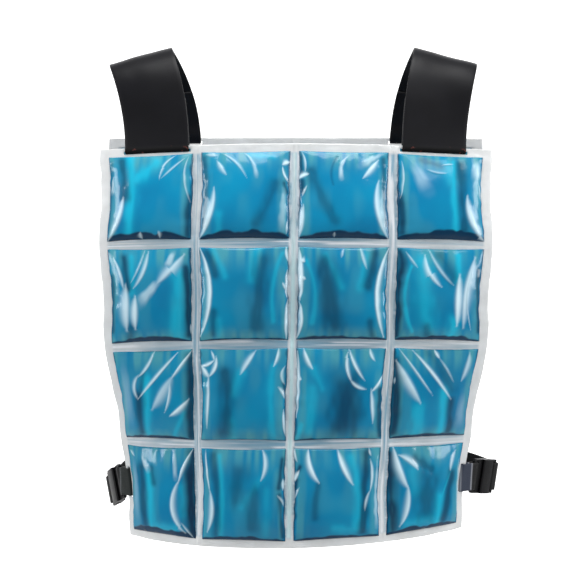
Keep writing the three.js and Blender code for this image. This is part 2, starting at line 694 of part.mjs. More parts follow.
// A belt: its two webs and the fastened buckle between them.
function beltGroup(belt) {
  const group = new THREE.Group();
  group.add(named(`${belt.name}_front_web`, frontWeb(belt), blackWeb));
  group.add(named(`${belt.name}_back_web`, backWeb(belt), blackWeb));
  const buckle = new THREE.Group();
  const { start, along, out, up } = buckleSeat(belt);
  const width = new THREE.Vector3().crossVectors(along, out);
  buckle.position.copy(start);
  buckle.quaternion.setFromRotationMatrix(new THREE.Matrix4().makeBasis(along, out, width));
  buckle.add(named(`${belt.name}_buckle_plug`, plug(), blackPlastic));
  buckle.add(named(`${belt.name}_buckle_socket`, socket(), blackPlastic));
  group.add(buckle);
  return group;
}

const vest = new THREE.Group();
for (const panel of PANELS) vest.add(panelGroup(panel));
for (const strap of STRAPS) vest.add(named(`${strap.name}_shoulder_strap`, shoulderStrap(strap), blackStrap));
for (const belt of BELTS) vest.add(beltGroup(belt));

export default vest;
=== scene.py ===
# A cooling vest as it is worn: two clear film panels of liquid pouches, two shoulder straps and two belts.
# Every length in the tables below is in millimetres, and MM turns it into metres.
import math
import bmesh
import bpy
import numpy as np
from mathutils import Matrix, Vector


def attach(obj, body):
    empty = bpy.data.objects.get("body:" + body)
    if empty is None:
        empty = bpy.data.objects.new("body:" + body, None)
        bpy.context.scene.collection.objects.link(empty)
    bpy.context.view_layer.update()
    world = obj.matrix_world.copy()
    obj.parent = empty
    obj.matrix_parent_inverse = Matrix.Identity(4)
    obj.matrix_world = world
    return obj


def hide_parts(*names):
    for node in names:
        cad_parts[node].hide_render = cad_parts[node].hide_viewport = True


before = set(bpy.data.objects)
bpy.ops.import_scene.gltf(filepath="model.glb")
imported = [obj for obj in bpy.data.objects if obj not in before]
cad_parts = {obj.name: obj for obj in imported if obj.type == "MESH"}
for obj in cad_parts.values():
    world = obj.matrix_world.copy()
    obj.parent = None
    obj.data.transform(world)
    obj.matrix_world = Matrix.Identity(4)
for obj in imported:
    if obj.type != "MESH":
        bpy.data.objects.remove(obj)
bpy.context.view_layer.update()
MM = 0.001

# The flat panel, with the same sizes as the frame.
ROWS = 4
COLUMNS = 4
POUCH_WIDTH = 93
POUCH_HEIGHT = 94
SEAM = 7
TOP_FLANGE = 7.5
BOTTOM_FLANGE = 6.5
FILM = 1.2
SLOT_BAR = 3.5
SLOT_MARGIN = 1.5
SLOT_PLAY = 2
PINCH = 1.5
OUTER_BULGE = 8
INNER_BULGE = 5.5
SETTLING = 0.22
CHEST_DEPTH = 220
SCALLOP = 0.012
STRAP_WIDTH = 68
STRAP_THICKNESS = 1.8
SHOULDER_SLOPE = 15
STRAP_TAIL = 52
STRAP_UPRIGHT = 0.62
STRAP_LEVEL = 0.54
STRAP_FOLD = 6
WEB_WIDTH = 29
WEB_THICKNESS = 1.6
WEB_TAIL = 18
BUCKLE_LENGTH = 50
PLUG_THICKNESS = 3.4
BUCKLE_BAR = 3.2
STRAIGHT_WEB = 4
WEB_PULL = 0.35
STITCHED_END = 13
PLATE = 12.5
# Where the front webs' lines of painted highlight lie, in mm from the film.
WEB_HIGHLIGHT_LINES = {"left": (PLATE,), "right": (PLATE, -2.5)}
CLEARANCE = 0.3

STRAP_SLOT = FILM / 2 + STRAP_THICKNESS + 4 * CLEARANCE
BELT_SLOT = FILM / 2 + WEB_THICKNESS + 6 * CLEARANCE
SIDE_FLANGE = SLOT_BAR + BELT_SLOT + SLOT_MARGIN
PITCH = POUCH_WIDTH + SEAM
PANEL_WIDTH = COLUMNS * POUCH_WIDTH + (COLUMNS - 1) * SEAM + 2 * SIDE_FLANGE
PANEL_HEIGHT = ROWS * POUCH_HEIGHT + (ROWS - 1) * SEAM + TOP_FLANGE + BOTTOM_FLANGE
HALF_WIDTH = PANEL_WIDTH / 2
STRAP_SLOT_HALF = STRAP_WIDTH / 2 + SLOT_PLAY
BELT_SLOT_HALF = WEB_WIDTH / 2 + SLOT_PLAY
FILM_HOLD = SLOT_BAR + CLEARANCE
FILM_TURN = FILM / 2 + 2.5 * CLEARANCE + WEB_THICKNESS / 2
BAR_TURN = PLUG_THICKNESS / 2 + CLEARANCE + WEB_THICKNESS / 2
BAR_HOLD = BUCKLE_BAR + 2 * CLEARANCE

# How a panel hangs, at even steps from its top edge to its bottom edge.
DRAPE = {
    "fall": [0, 0.241, 0.491, 0.741, 0.991],
    "back": [0.245, 0.01, 0, 0.02, 0.04],
    "turn": [19.7, 21.6, 26.3, 43.1, 49.9],
    "gather": [1, 1, 0.985, 0.965, 0.955],
    "lift": [-0.01, -0.005, -0.01, 0.001, 0.02],
    "tilt": [0, 0, 0.003, 0.003, 0.009],
    "slide": [-0.002, -0.006, -0.009, -0.015, -0.017],
}
PANELS = {
    "front": {"facing": -1, "top": -96, "strap": 0.075, "belt": 0.857},
    "back": {"facing": 1, "top": -77, "strap": 0.13, "belt": 0.885},
}
STRAPS = {"left": {"side": -1, "reach": 0.793}, "right": {"side": 1, "reach": 0.764}}
BELTS = {
    "left": {"side": -1, "swing": 20, "droop": 20, "loop": 0.2},
    "right": {"side": 1, "swing": 14, "droop": 9, "loop": 0.26},
}

# The camera comes first, so that every later step can be seen through it.
camera = bpy.data.objects.new("photo_camera", bpy.data.cameras.new("photo_camera"))
bpy.context.scene.collection.objects.link(camera)
camera.location = (-0.003, -2.110, -0.248)
camera.rotation_euler = (math.pi / 2, 0, 0)
camera.data.sensor_width = 36
camera.data.lens = 36 * 2000 / 587
bpy.context.scene.camera = camera


def unit(vectors):
    """The same directions with length 1."""
    vectors = np.asarray(vectors, float)
    return vectors / np.maximum(np.linalg.norm(vectors, axis=-1, keepdims=True), 1e-12)


def smooth(x, low=0.0, high=1.0):
    """From 0 at low to 1 at high, level at both."""
    t = np.clip((np.asarray(x, float) - low) / (high - low), 0, 1)
    return t * t * (3 - 2 * t)


def between(column, share):
    """A row of DRAPE at that share of the way down, on a smooth curve."""
    values = np.array(DRAPE[column], float)
    values = np.concatenate([[2 * values[0] - values[1]], values, [2 * values[-1] - values[-2]]])
    spans = len(values) - 3
    at = np.clip(np.asarray(share, float) * spans, 0, spans - 1e-9)
    row = np.floor(at).astype(int)
    t = at - row
    before, start, end, after = (values[row + k] for k in range(4))
    return (
        (2 * t**3 - 3 * t**2 + 1) * start
        + (t**3 - 2 * t**2 + t) * (end - before) / 2
        + (3 * t**2 - 2 * t**3) * end
        + (t**3 - t**2) * (after - start) / 2
    )


def hang(panel, u, v):
    """Where the flat sheet's point u across from its middle and v down from its top hangs."""
    down = np.asarray(v, float) / PANEL_HEIGHT
    across = np.asarray(u, float) / HALF_WIDTH
    turn = np.radians(between("turn", down))
    scallop = SCALLOP * np.sin(np.pi * ROWS * down) ** 2
    radius = HALF_WIDTH * (between("gather", down) - scallop) / turn
    slide = PANEL_WIDTH * between("slide", down) * (1 - across**2)
    back = CHEST_DEPTH / 2 * between("back", down) + radius * (1 - np.cos(turn * across))
    rise = PANEL_WIDTH * across * (between("lift", down) * across + between("tilt", down))
    x = radius * np.sin(turn * across) + slide
    y = panel["facing"] * (CHEST_DEPTH / 2 - back)
    z = panel["top"] - PANEL_HEIGHT * between("fall", down) + rise
    return np.stack(np.broadcast_arrays(x, y, z), axis=-1)


def drape(panel, u, v):
    """The same with the sheet's directions there: across it, down it and out from the wearer."""
    step = 0.5
    across = unit(hang(panel, u + step, v) - hang(panel, u - step, v))
    down = unit(hang(panel, u, v + step) - hang(panel, u, v - step))
    out = unit(np.cross(across, down)) * panel["facing"]
    return hang(panel, u, v), across, down, out


NOISE_SIZE = 64
NOISE_GRIDS = np.random.RandomState(7).uniform(-1, 1, (8, NOISE_SIZE, NOISE_SIZE))


def noise(x, y, layer=0):
    """Smooth hills and hollows from -1 to 1, about one unit across."""
    grid = NOISE_GRIDS[layer % len(NOISE_GRIDS)]
    x, y = np.broadcast_arrays(np.asarray(x, float), np.asarray(y, float))
    i, j = np.floor(x).astype(int), np.floor(y).astype(int)
    s, t = smooth(x - i), smooth(y - j)
    corner = [grid[(i + a) % NOISE_SIZE, (j + b) % NOISE_SIZE] for a in (0, 1) for b in (0, 1)]
    return (corner[0] * (1 - s) + corner[2] * s) * (1 - t) + (corner[1] * (1 - s) + corner[3] * s) * t


def piece(name, points, faces, material, replaced):
    """A mesh object in metres, from points in millimetres, that rides on the vest's one body."""
    mesh = bpy.data.meshes.new(name)
    mesh.from_pydata((np.asarray(points) * MM).tolist(), [], faces)
    mesh.update()
    obj = bpy.data.objects.new(name, mesh)
    bpy.context.scene.collection.objects.link(obj)
    mesh.polygons.foreach_set("use_smooth", [True] * len(mesh.polygons))
    mesh.materials.append(material)
    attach(obj, "root")
    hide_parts(*replaced)
    return obj


def outward(points, faces):
    """The faces turned so that a closed mesh's normals point out."""
    p = np.asarray(points)
    corners = np.array([face[:3] for face in faces])
    if len(faces[0]) == 4:
        quads = np.array(faces)
        second = quads[:, [0, 2, 3]]
        corners = np.concatenate([corners, second])
    a, b, c = (p[corners[:, k]] for k in range(3))
    if (a * np.cross(b, c)).sum() < 0:
        return [tuple(reversed(face)) for face in faces]
    return faces


def store(obj, name, values):
    """A number for each point, that the material can read."""
    attribute = obj.data.attributes.new(name, "FLOAT", "POINT")
    attribute.data.foreach_set("value", np.asarray(values, np.float32).ravel())


def store_vector(obj, name, values):
    attribute = obj.data.attributes.new(name, "FLOAT_VECTOR", "POINT")
    attribute.data.foreach_set("vector", np.asarray(values, np.float32).ravel())


# Materials.
class Nodes:
    """A material's node tree, with short calls to add and join nodes."""

    def __init__(self, name):
        self.material = bpy.data.materials.new(name)
        self.material.use_nodes = True
        self.tree = self.material.node_tree
        self.shader = self.tree.nodes["Principled BSDF"]

    def add(self, kind, **values):
        node = self.tree.nodes.new(kind)
        for key, value in values.items():
            if key in node.inputs:
                node.inputs[key].default_value = value
            else:
                setattr(node, key, value)
        return node

    def join(self, output, target):
        self.tree.links.new(output, target)

    def attribute(self, name):
        return self.add("ShaderNodeAttribute", attribute_name=name)

    def mix(self, factor, first, second):
        node = self.add("ShaderNodeMix", data_type="RGBA")
        for socket, value in ((0, factor), (6, first), (7, second)):
            if isinstance(value, bpy.types.NodeSocket):
                self.join(value, node.inputs[socket])
            else:
                node.inputs[socket].default_value = value
        return node.outputs[2]

    def noise(self, scale, detail, vector):
        node = self.add("ShaderNodeTexNoise")
        node.inputs["Scale"].default_value = scale
        node.inputs["Detail"].default_value = detail
        self.join(vector, node.inputs["Vector"])
        return node.outputs["Fac"]

    def ramp(self, factor, low, high):
        node = self.add("ShaderNodeMapRange")
        self.join(factor, node.inputs["Value"])
        node.inputs["From Min"].default_value = low
        node.inputs["From Max"].default_value = high
        return node.outputs["Result"]

    def bump(self, height, distance, strength):
        node = self.add("ShaderNodeBump")
        node.inputs["Distance"].default_value = distance
        node.inputs["Strength"].default_value = strength
        self.join(height, node.inputs["Height"])
        return node.outputs["Normal"]

    def set(self, **values):
        for key, value in values.items():
            self.shader.inputs[key.replace("_", " ")].default_value = value


def rgb(red, green, blue):
    """A screen colour, 0 to 255, as the linear values that a shader takes."""
    def linear(x):
        x /= 255
        return x / 12.92 if x <= 0.04045 else ((x + 0.055) / 1.055) ** 2.4
    return (linear(red), linear(green), linear(blue), 1)


def liquid_material():
    m = Nodes("blue_liquid_pouch")
    flat = m.attribute("flat").outputs["Vector"]
    blue = m.mix(m.ramp(m.noise(14, 2, flat), 0.35, 0.7), rgb(0, 120, 166), rgb(0, 142, 184))
    # Teal: partly random tone, partly a painted sheen along the pouches' tops and the middle rows' bottoms.
    shade = m.mix(m.attribute("teal_tone_and_sheen").outputs["Fac"], blue, rgb(78, 158, 170))
    # Cyan: painted light.
    shade = m.mix(m.attribute("painted_light").outputs["Fac"], shade, rgb(24, 188, 220))
    # Navy: painted shade, in grooves, along the edges and along the lower lip.
    shade = m.mix(m.attribute("painted_shade").outputs["Fac"], shade, rgb(0, 50, 80))
    # Near white: painted highlights on the folds.
    shade = m.mix(m.attribute("painted_highlight").outputs["Fac"], shade, rgb(222, 246, 255))
    m.join(shade, m.shader.inputs["Base Color"])
    m.set(Roughness=0.16, IOR=1.33, Specular_IOR_Level=0.4, Coat_Weight=0.15, Coat_Roughness=0.04)
    fine = m.noise(60, 3, flat)
    m.join(m.bump(fine, 0.0006, 0.25), m.shader.inputs["Normal"])
    return m.material


def film_material():
    m = Nodes("clear_film_weld")
    flat = m.attribute("flat").outputs["Vector"]
    milk = m.mix(m.ramp(m.noise(40, 4, flat), 0.3, 0.75), rgb(218, 219, 216), rgb(236, 237, 236))
    # Blue-grey: a painted blue reflection in the clear seams.
    shade = m.mix(m.attribute("painted_blue_reflection").outputs["Fac"], milk, rgb(112, 156, 180))
    # Pale blue: painted light down the centre seam, brighter towards the bottom.
    shade = m.mix(m.attribute("painted_highlight").outputs["Fac"], shade, rgb(205, 252, 255))
    # Near white: painted highlights, as streaks along the seams and rails beside the centre seam.
    shade = m.mix(m.attribute("painted_white_highlight").outputs["Fac"], shade, rgb(240, 245, 250))
    # Navy: painted shade in the crumples beside the centre seam.
    shade = m.mix(m.attribute("painted_shade").outputs["Fac"], shade, rgb(50, 88, 116))
    m.join(shade, m.shader.inputs["Base Color"])
    m.set(Roughness=0.22, IOR=1.4, Coat_Weight=0.3, Coat_Roughness=0.06)
    m.set(Subsurface_Weight=0.6, Subsurface_Radius=(1, 1, 1), Subsurface_Scale=0.01)
    m.join(m.bump(m.noise(130, 4, flat), 0.0008, 0.35), m.shader.inputs["Normal"])
    return m.material


def strap_material():
    m = Nodes("black_strap")
    flat = m.attribute("flat").outputs["Vector"]
    black = m.mix(m.ramp(m.noise(30, 3, flat), 0.3, 0.8), rgb(7, 7, 11), rgb(14, 14, 20))
    # The strap's lowest band, where it folds, is painted near black as shade, with specks of painted
    # red-brown glint.
    glints = m.mix(m.ramp(m.noise(260, 2, flat), 0.62, 0.7), rgb(3, 3, 4), rgb(96, 50, 44))
    m.join(m.mix(m.attribute("fold").outputs["Fac"], black, glints), m.shader.inputs["Base Color"])
    m.set(IOR=1.5, Specular_IOR_Level=0.2)
    dull = m.add("ShaderNodeMapRange")
    m.join(m.attribute("fold").outputs["Fac"], dull.inputs["Value"])
    dull.inputs["To Min"].default_value = 0.42
    dull.inputs["To Max"].default_value = 0.85
    m.join(dull.outputs["Result"], m.shader.inputs["Roughness"])
    m.join(m.bump(m.noise(900, 2, flat), 0.0002, 0.3), m.shader.inputs["Normal"])
    return m.material


def web_material(name, dark, light, plate, line):
    """Ribbed web. Beside the film its face is painted the paler colour plate, edged with lines of painted
    highlight.
    """
    m = Nodes(name)
    flat = m.attribute("flat").outputs["Vector"]
    shade = m.mix(m.ramp(m.noise(60, 3, flat), 0.3, 0.8), dark, light)
    shade = m.mix(m.attribute("plate").outputs["Fac"], shade, plate)
    # Lines of painted highlight along the plate's edges.
    shade = m.mix(m.attribute("line").outputs["Fac"], shade, line)
    weave = m.add("ShaderNodeTexWave", wave_type="BANDS", bands_direction="X")
    weave.inputs["Scale"].default_value = 160
    weave.inputs["Distortion"].default_value = 0.6
    m.join(flat, weave.inputs["Vector"])
    m.join(shade, m.shader.inputs["Base Color"])
    m.set(Roughness=0.5, Specular_IOR_Level=0.3)
    m.join(m.bump(weave.outputs["Fac"], 0.0003, 0.4), m.shader.inputs["Normal"])
    return m.material


def plastic_material():
    """Moulded plastic, with the faint cloudiness and fine grain of the mould."""
    m = Nodes("black_plastic")
    place = m.add("ShaderNodeTexCoord").outputs["Object"]
    cloud = m.ramp(m.noise(90, 3, place), 0.3, 0.75)
    m.join(m.mix(cloud, rgb(7, 7, 9), rgb(14, 14, 17)), m.shader.inputs["Base Color"])
    gloss = m.add("ShaderNodeMapRange")
    m.join(m.noise(220, 3, place), gloss.inputs["Value"])
    gloss.inputs["To Min"].default_value = 0.3
    gloss.inputs["To Max"].default_value = 0.45
    m.join(gloss.outputs["Result"], m.shader.inputs["Roughness"])
    m.set(Specular_IOR_Level=0.16)
    m.join(m.bump(m.noise(2400, 2, place), 0.00012, 0.3), m.shader.inputs["Normal"])
    return m.material


LIQUID = liquid_material()
FILM_LOOK = film_material()
STRAP_LOOK = strap_material()
WEB_SHADES = (rgb(5, 5, 6), rgb(11, 11, 13))
WEB_LOOK = web_material("black_webbing", *WEB_SHADES, rgb(14, 14, 16), rgb(24, 24, 26))
# Each front web: its weave's two tones, its plate's colour and the colour of its lines of painted highlight.
FRONT_WEB_LOOKS = {
    "left": web_material("green_black_webbing", *WEB_SHADES, rgb(28, 34, 33), rgb(96, 100, 102)),
    "right": web_material("blue_grey_webbing", *WEB_SHADES, rgb(46, 54, 70), rgb(150, 152, 160)),
}
PLASTIC = plastic_material()


# The welded film.
UNDERLAP = 4  # the weld runs on this far inside a pouch's edge
FINE_STEP = 1.2
COARSE_STEP = 2.6
WIDE_SPAN = 40  # a span without film is wider than this
SEAM_REACH = 4.5  # how far the crumples of an upright seam reach to each side
SIDE_BAND = 10.5  # how far in from its side edges a panel's outline wanders
POUCH_CELLS = {"front": 114, "back": 75}
BACK_SHIFT = 2  # the back repeats the front's folds this many rows on
INNER_STEP = 3  # the inner face has one line for this many of the outer face
EDGE_POWER = 2.5  # a higher power keeps a pouch full nearer to its edges
SWELL_POWER = 0.56
SAG = 1.6
PUCKER = 0.7
DIMPLE = 0.5
WELD_STEP = 0.85
OUTLINE_WAVE = 0.8


def only_used(points, faces):
    """The points that the faces use, the faces renumbered to them, and which points they were."""
    used = np.unique(np.concatenate([np.array(face) for face in faces]))
    renumber = np.full(len(points), -1)
    renumber[used] = np.arange(len(used))
    faces = [tuple(int(renumber[k]) for k in face) for face in faces]
    return points[used], faces, used


def pouch_box(row, column):
    """Left, right, top and bottom of a pouch on the flat sheet."""
    left = -HALF_WIDTH + SIDE_FLANGE + column * (POUCH_WIDTH + SEAM)
    top = TOP_FLANGE + row * (POUCH_HEIGHT + SEAM)
    bottom = top + POUCH_HEIGHT
    if row == 0 and column in (0, COLUMNS - 1):
        top = SLOT_BAR + STRAP_SLOT + SLOT_MARGIN
    return left, left + POUCH_WIDTH, top, bottom


def pinched(box, u, v):
    """A point on a pouch's outline drawn in towards the pouch's middle, most between two corners."""
    left, right, top, bottom = box
    a = (2 * u - left - right) / (right - left)
    b = (2 * v - top - bottom) / (bottom - top)
    inside = (np.abs(a) <= 1.001) & (np.abs(b) <= 1.001)
    du = PINCH * np.sign(a) * np.abs(a) ** 3 * (1 - b**2)
    dv = PINCH * np.sign(b) * np.abs(b) ** 3 * (1 - a**2)
    return u - np.where(inside, du, 0), v - np.where(inside, dv, 0)


def grid_lines(breaks):
    """Lines through every break, with coarse steps in the wide spans."""
    breaks = sorted(set(np.round(breaks, 4)))
    lines = [breaks[0]]
    for start, end in zip(breaks, breaks[1:]):
        step = COARSE_STEP if end - start > WIDE_SPAN else FINE_STEP
        count = max(1, int(round((end - start) / step)))
        lines += list(np.linspace(start, end, count + 1)[1:])
    return np.array(lines)


def film_slots(panel):
    """The holes for the straps and the belts on the flat sheet."""
    slots = []
    strap_at = HALF_WIDTH - SIDE_FLANGE - POUCH_WIDTH * (0.5 + panel["strap"])
    level = panel["belt"] * PANEL_HEIGHT
    for side in (-1, 1):
        middle = side * strap_at
        slots.append((middle - STRAP_SLOT_HALF, middle + STRAP_SLOT_HALF, SLOT_BAR, SLOT_BAR + STRAP_SLOT))
        ends = sorted((side * (HALF_WIDTH - SLOT_BAR), side * (HALF_WIDTH - SLOT_BAR - BELT_SLOT)))
        slots.append((ends[0], ends[1], level - BELT_SLOT_HALF, level + BELT_SLOT_HALF))
    return slots


def film_sheet(name, panel):
    """The welds of one panel: flanges and seams in one thick sheet, creased along the seams."""
    boxes = [pouch_box(row, column) for row in range(ROWS) for column in range(COLUMNS)]
    windows = [(b[0] + UNDERLAP, b[1] - UNDERLAP, b[2] + UNDERLAP, b[3] - UNDERLAP) for b in boxes]
    holes = windows + film_slots(panel)
    us = grid_lines([-HALF_WIDTH, HALF_WIDTH] + [x for h in holes for x in h[:2]])
    vs = grid_lines([0, PANEL_HEIGHT] + [x for h in holes for x in h[2:]])
    mid_u, mid_v = (us[1:] + us[:-1]) / 2, (vs[1:] + vs[:-1]) / 2
    there = np.ones((len(mid_u), len(mid_v)), bool)
    area = PANEL_WIDTH * PANEL_HEIGHT
    for left, right, top, bottom in holes:
        inside = ((mid_u > left) & (mid_u < right))[:, None] & ((mid_v > top) & (mid_v < bottom))[None, :]
        there &= ~inside
        area -= (right - left) * (bottom - top)
    u, v = np.meshgrid(us, vs, indexing="ij")
    flat_u, flat_v = u.copy(), v.copy()
    for box in boxes:
        moved_u, moved_v = pinched(box, flat_u, flat_v)
        near = (flat_u >= box[0]) & (flat_u <= box[1]) & (flat_v >= box[2]) & (flat_v <= box[3])
        u, v = np.where(near, moved_u, u), np.where(near, moved_v, v)
    point, across, down, out = drape(panel, u, v)
    middle = np.exp(-((flat_u / 6) ** 4))
    ripple = 0.35 * noise(flat_u / 16, flat_v / 16, 1) + 0.2 * noise(flat_u / 6, flat_v / 6, 2)
    ripple = ripple + middle * 0.6 * noise(flat_u / 2.4, flat_v / 16, 3)
    upright = sum(np.exp(-(((flat_u - seam) / SEAM_REACH) ** 4)) for seam in (-PITCH, 0, PITCH))
    ripple = ripple + upright * 0.5 * noise(flat_u / 1.8, flat_v / 40, 6)
    edge = np.minimum(HALF_WIDTH - np.abs(flat_u), np.minimum(flat_v, PANEL_HEIGHT - flat_v))
    ripple = ripple * smooth(edge, -1, 4)
    flange = 1 - smooth(edge, 3, 10)
    ripple = ripple + 0.7 * flange * noise(flat_u / 17, flat_v / 17, 2)
    at_side = np.sign(flat_u) * smooth(np.abs(flat_u), HALF_WIDTH - SIDE_BAND, HALF_WIDTH)
    wander = 0.9 * flange * noise(flat_v / 13, 3, 1) * at_side
    point = point + across * wander[..., None]
    sides = [point + out * (ripple + side * FILM / 2)[..., None] for side in (1, -1)]
    points = np.concatenate([s.reshape(-1, 3) for s in sides])
    wide, high = len(us), len(vs)
    number = np.arange(wide * high).reshape(wide, high)
    faces = []
    padded = np.pad(there, 1)
    for i, j in zip(*np.nonzero(there)):
        loop = [number[i, j], number[i, j + 1], number[i + 1, j + 1], number[i + 1, j]]
        faces.append(tuple(int(k) for k in loop))
        faces.append(tuple(int(k) + wide * high for k in reversed(loop)))
        beyond = (padded[i, j + 1], padded[i + 1, j + 2], padded[i + 2, j + 1], padded[i + 1, j])
        for k, filled in enumerate(beyond):
            if not filled:
                p, q = int(loop[k]), int(loop[(k + 1) % 4])
                faces.append((p + wide * high, q + wide * high, q, p))
    points, faces, used = only_used(points, faces)
    obj = piece(f"{name}_film_welds", points, outward(points, faces), FILM_LOOK, [f"{name}_film"])
    both = lambda grid: np.concatenate([grid.ravel(), grid.ravel()])[used]
    store_vector(obj, "flat", np.stack([both(flat_u) * MM, both(flat_v) * MM, both(u * 0)], axis=-1))
    inside = smooth(edge, 8, 12)
    upright = upright * inside
    level = inside * np.clip(1 - upright, 0, 1)
    down_streak = noise(flat_u / 1.3, flat_v / 60, 4)
    across_streak = noise(flat_u / 45, flat_v / 1.5, 2)
    # Painted blue reflection in the clear seams: across the level seams, strongest near the middle, and
    # streaked down the upright ones.
    painted_blue_reflection = level * (0.25 + 0.6 * np.exp(-((flat_u / 120) ** 2)) + 0.35 * across_streak)
    painted_blue_reflection = painted_blue_reflection + upright * (0.55 + 0.6 * down_streak)
    store(obj, "painted_blue_reflection", both(np.clip(painted_blue_reflection, 0, 1)))
    # Painted pale-blue light down the centre seam, brighter towards the bottom.
    core = np.exp(-((flat_u / 2.6) ** 4)) * inside
    store(obj, "painted_highlight", both(core * (0.4 + 0.6 * smooth(flat_v, 80, 150))))
    # Painted white highlights: streaks down the upright seams and along the level ones, and broken rails
    # beside the centre seam.
    bright = upright * (1 - core) * smooth(noise(flat_u / 1.3, flat_v / 60, 5), 0.1, 0.5)
    bright = np.maximum(bright, level * smooth(noise(flat_u / 60, flat_v / 1.2, 3), 0.2, 0.6))
    rail = np.exp(-(((np.abs(flat_u) - 3.3) / 0.9) ** 2))
    rail = rail * smooth(noise(flat_u / 3, flat_v / 12, 7), -0.3, 0.2)
    store(obj, "painted_white_highlight", both(np.clip(np.maximum(bright, rail * inside), 0, 1)))
    # Painted shade in broken crumples beside the centre seam.
    crease_shade = smooth(noise(flat_u / 2, flat_v / 9, 5), 0.1, 0.4)
    crease_shade = crease_shade * np.exp(-(((np.abs(flat_u) - 4.6) / 1.1) ** 2)) * inside
    store(obj, "painted_shade", both(0.8 * crease_shade))
    return obj
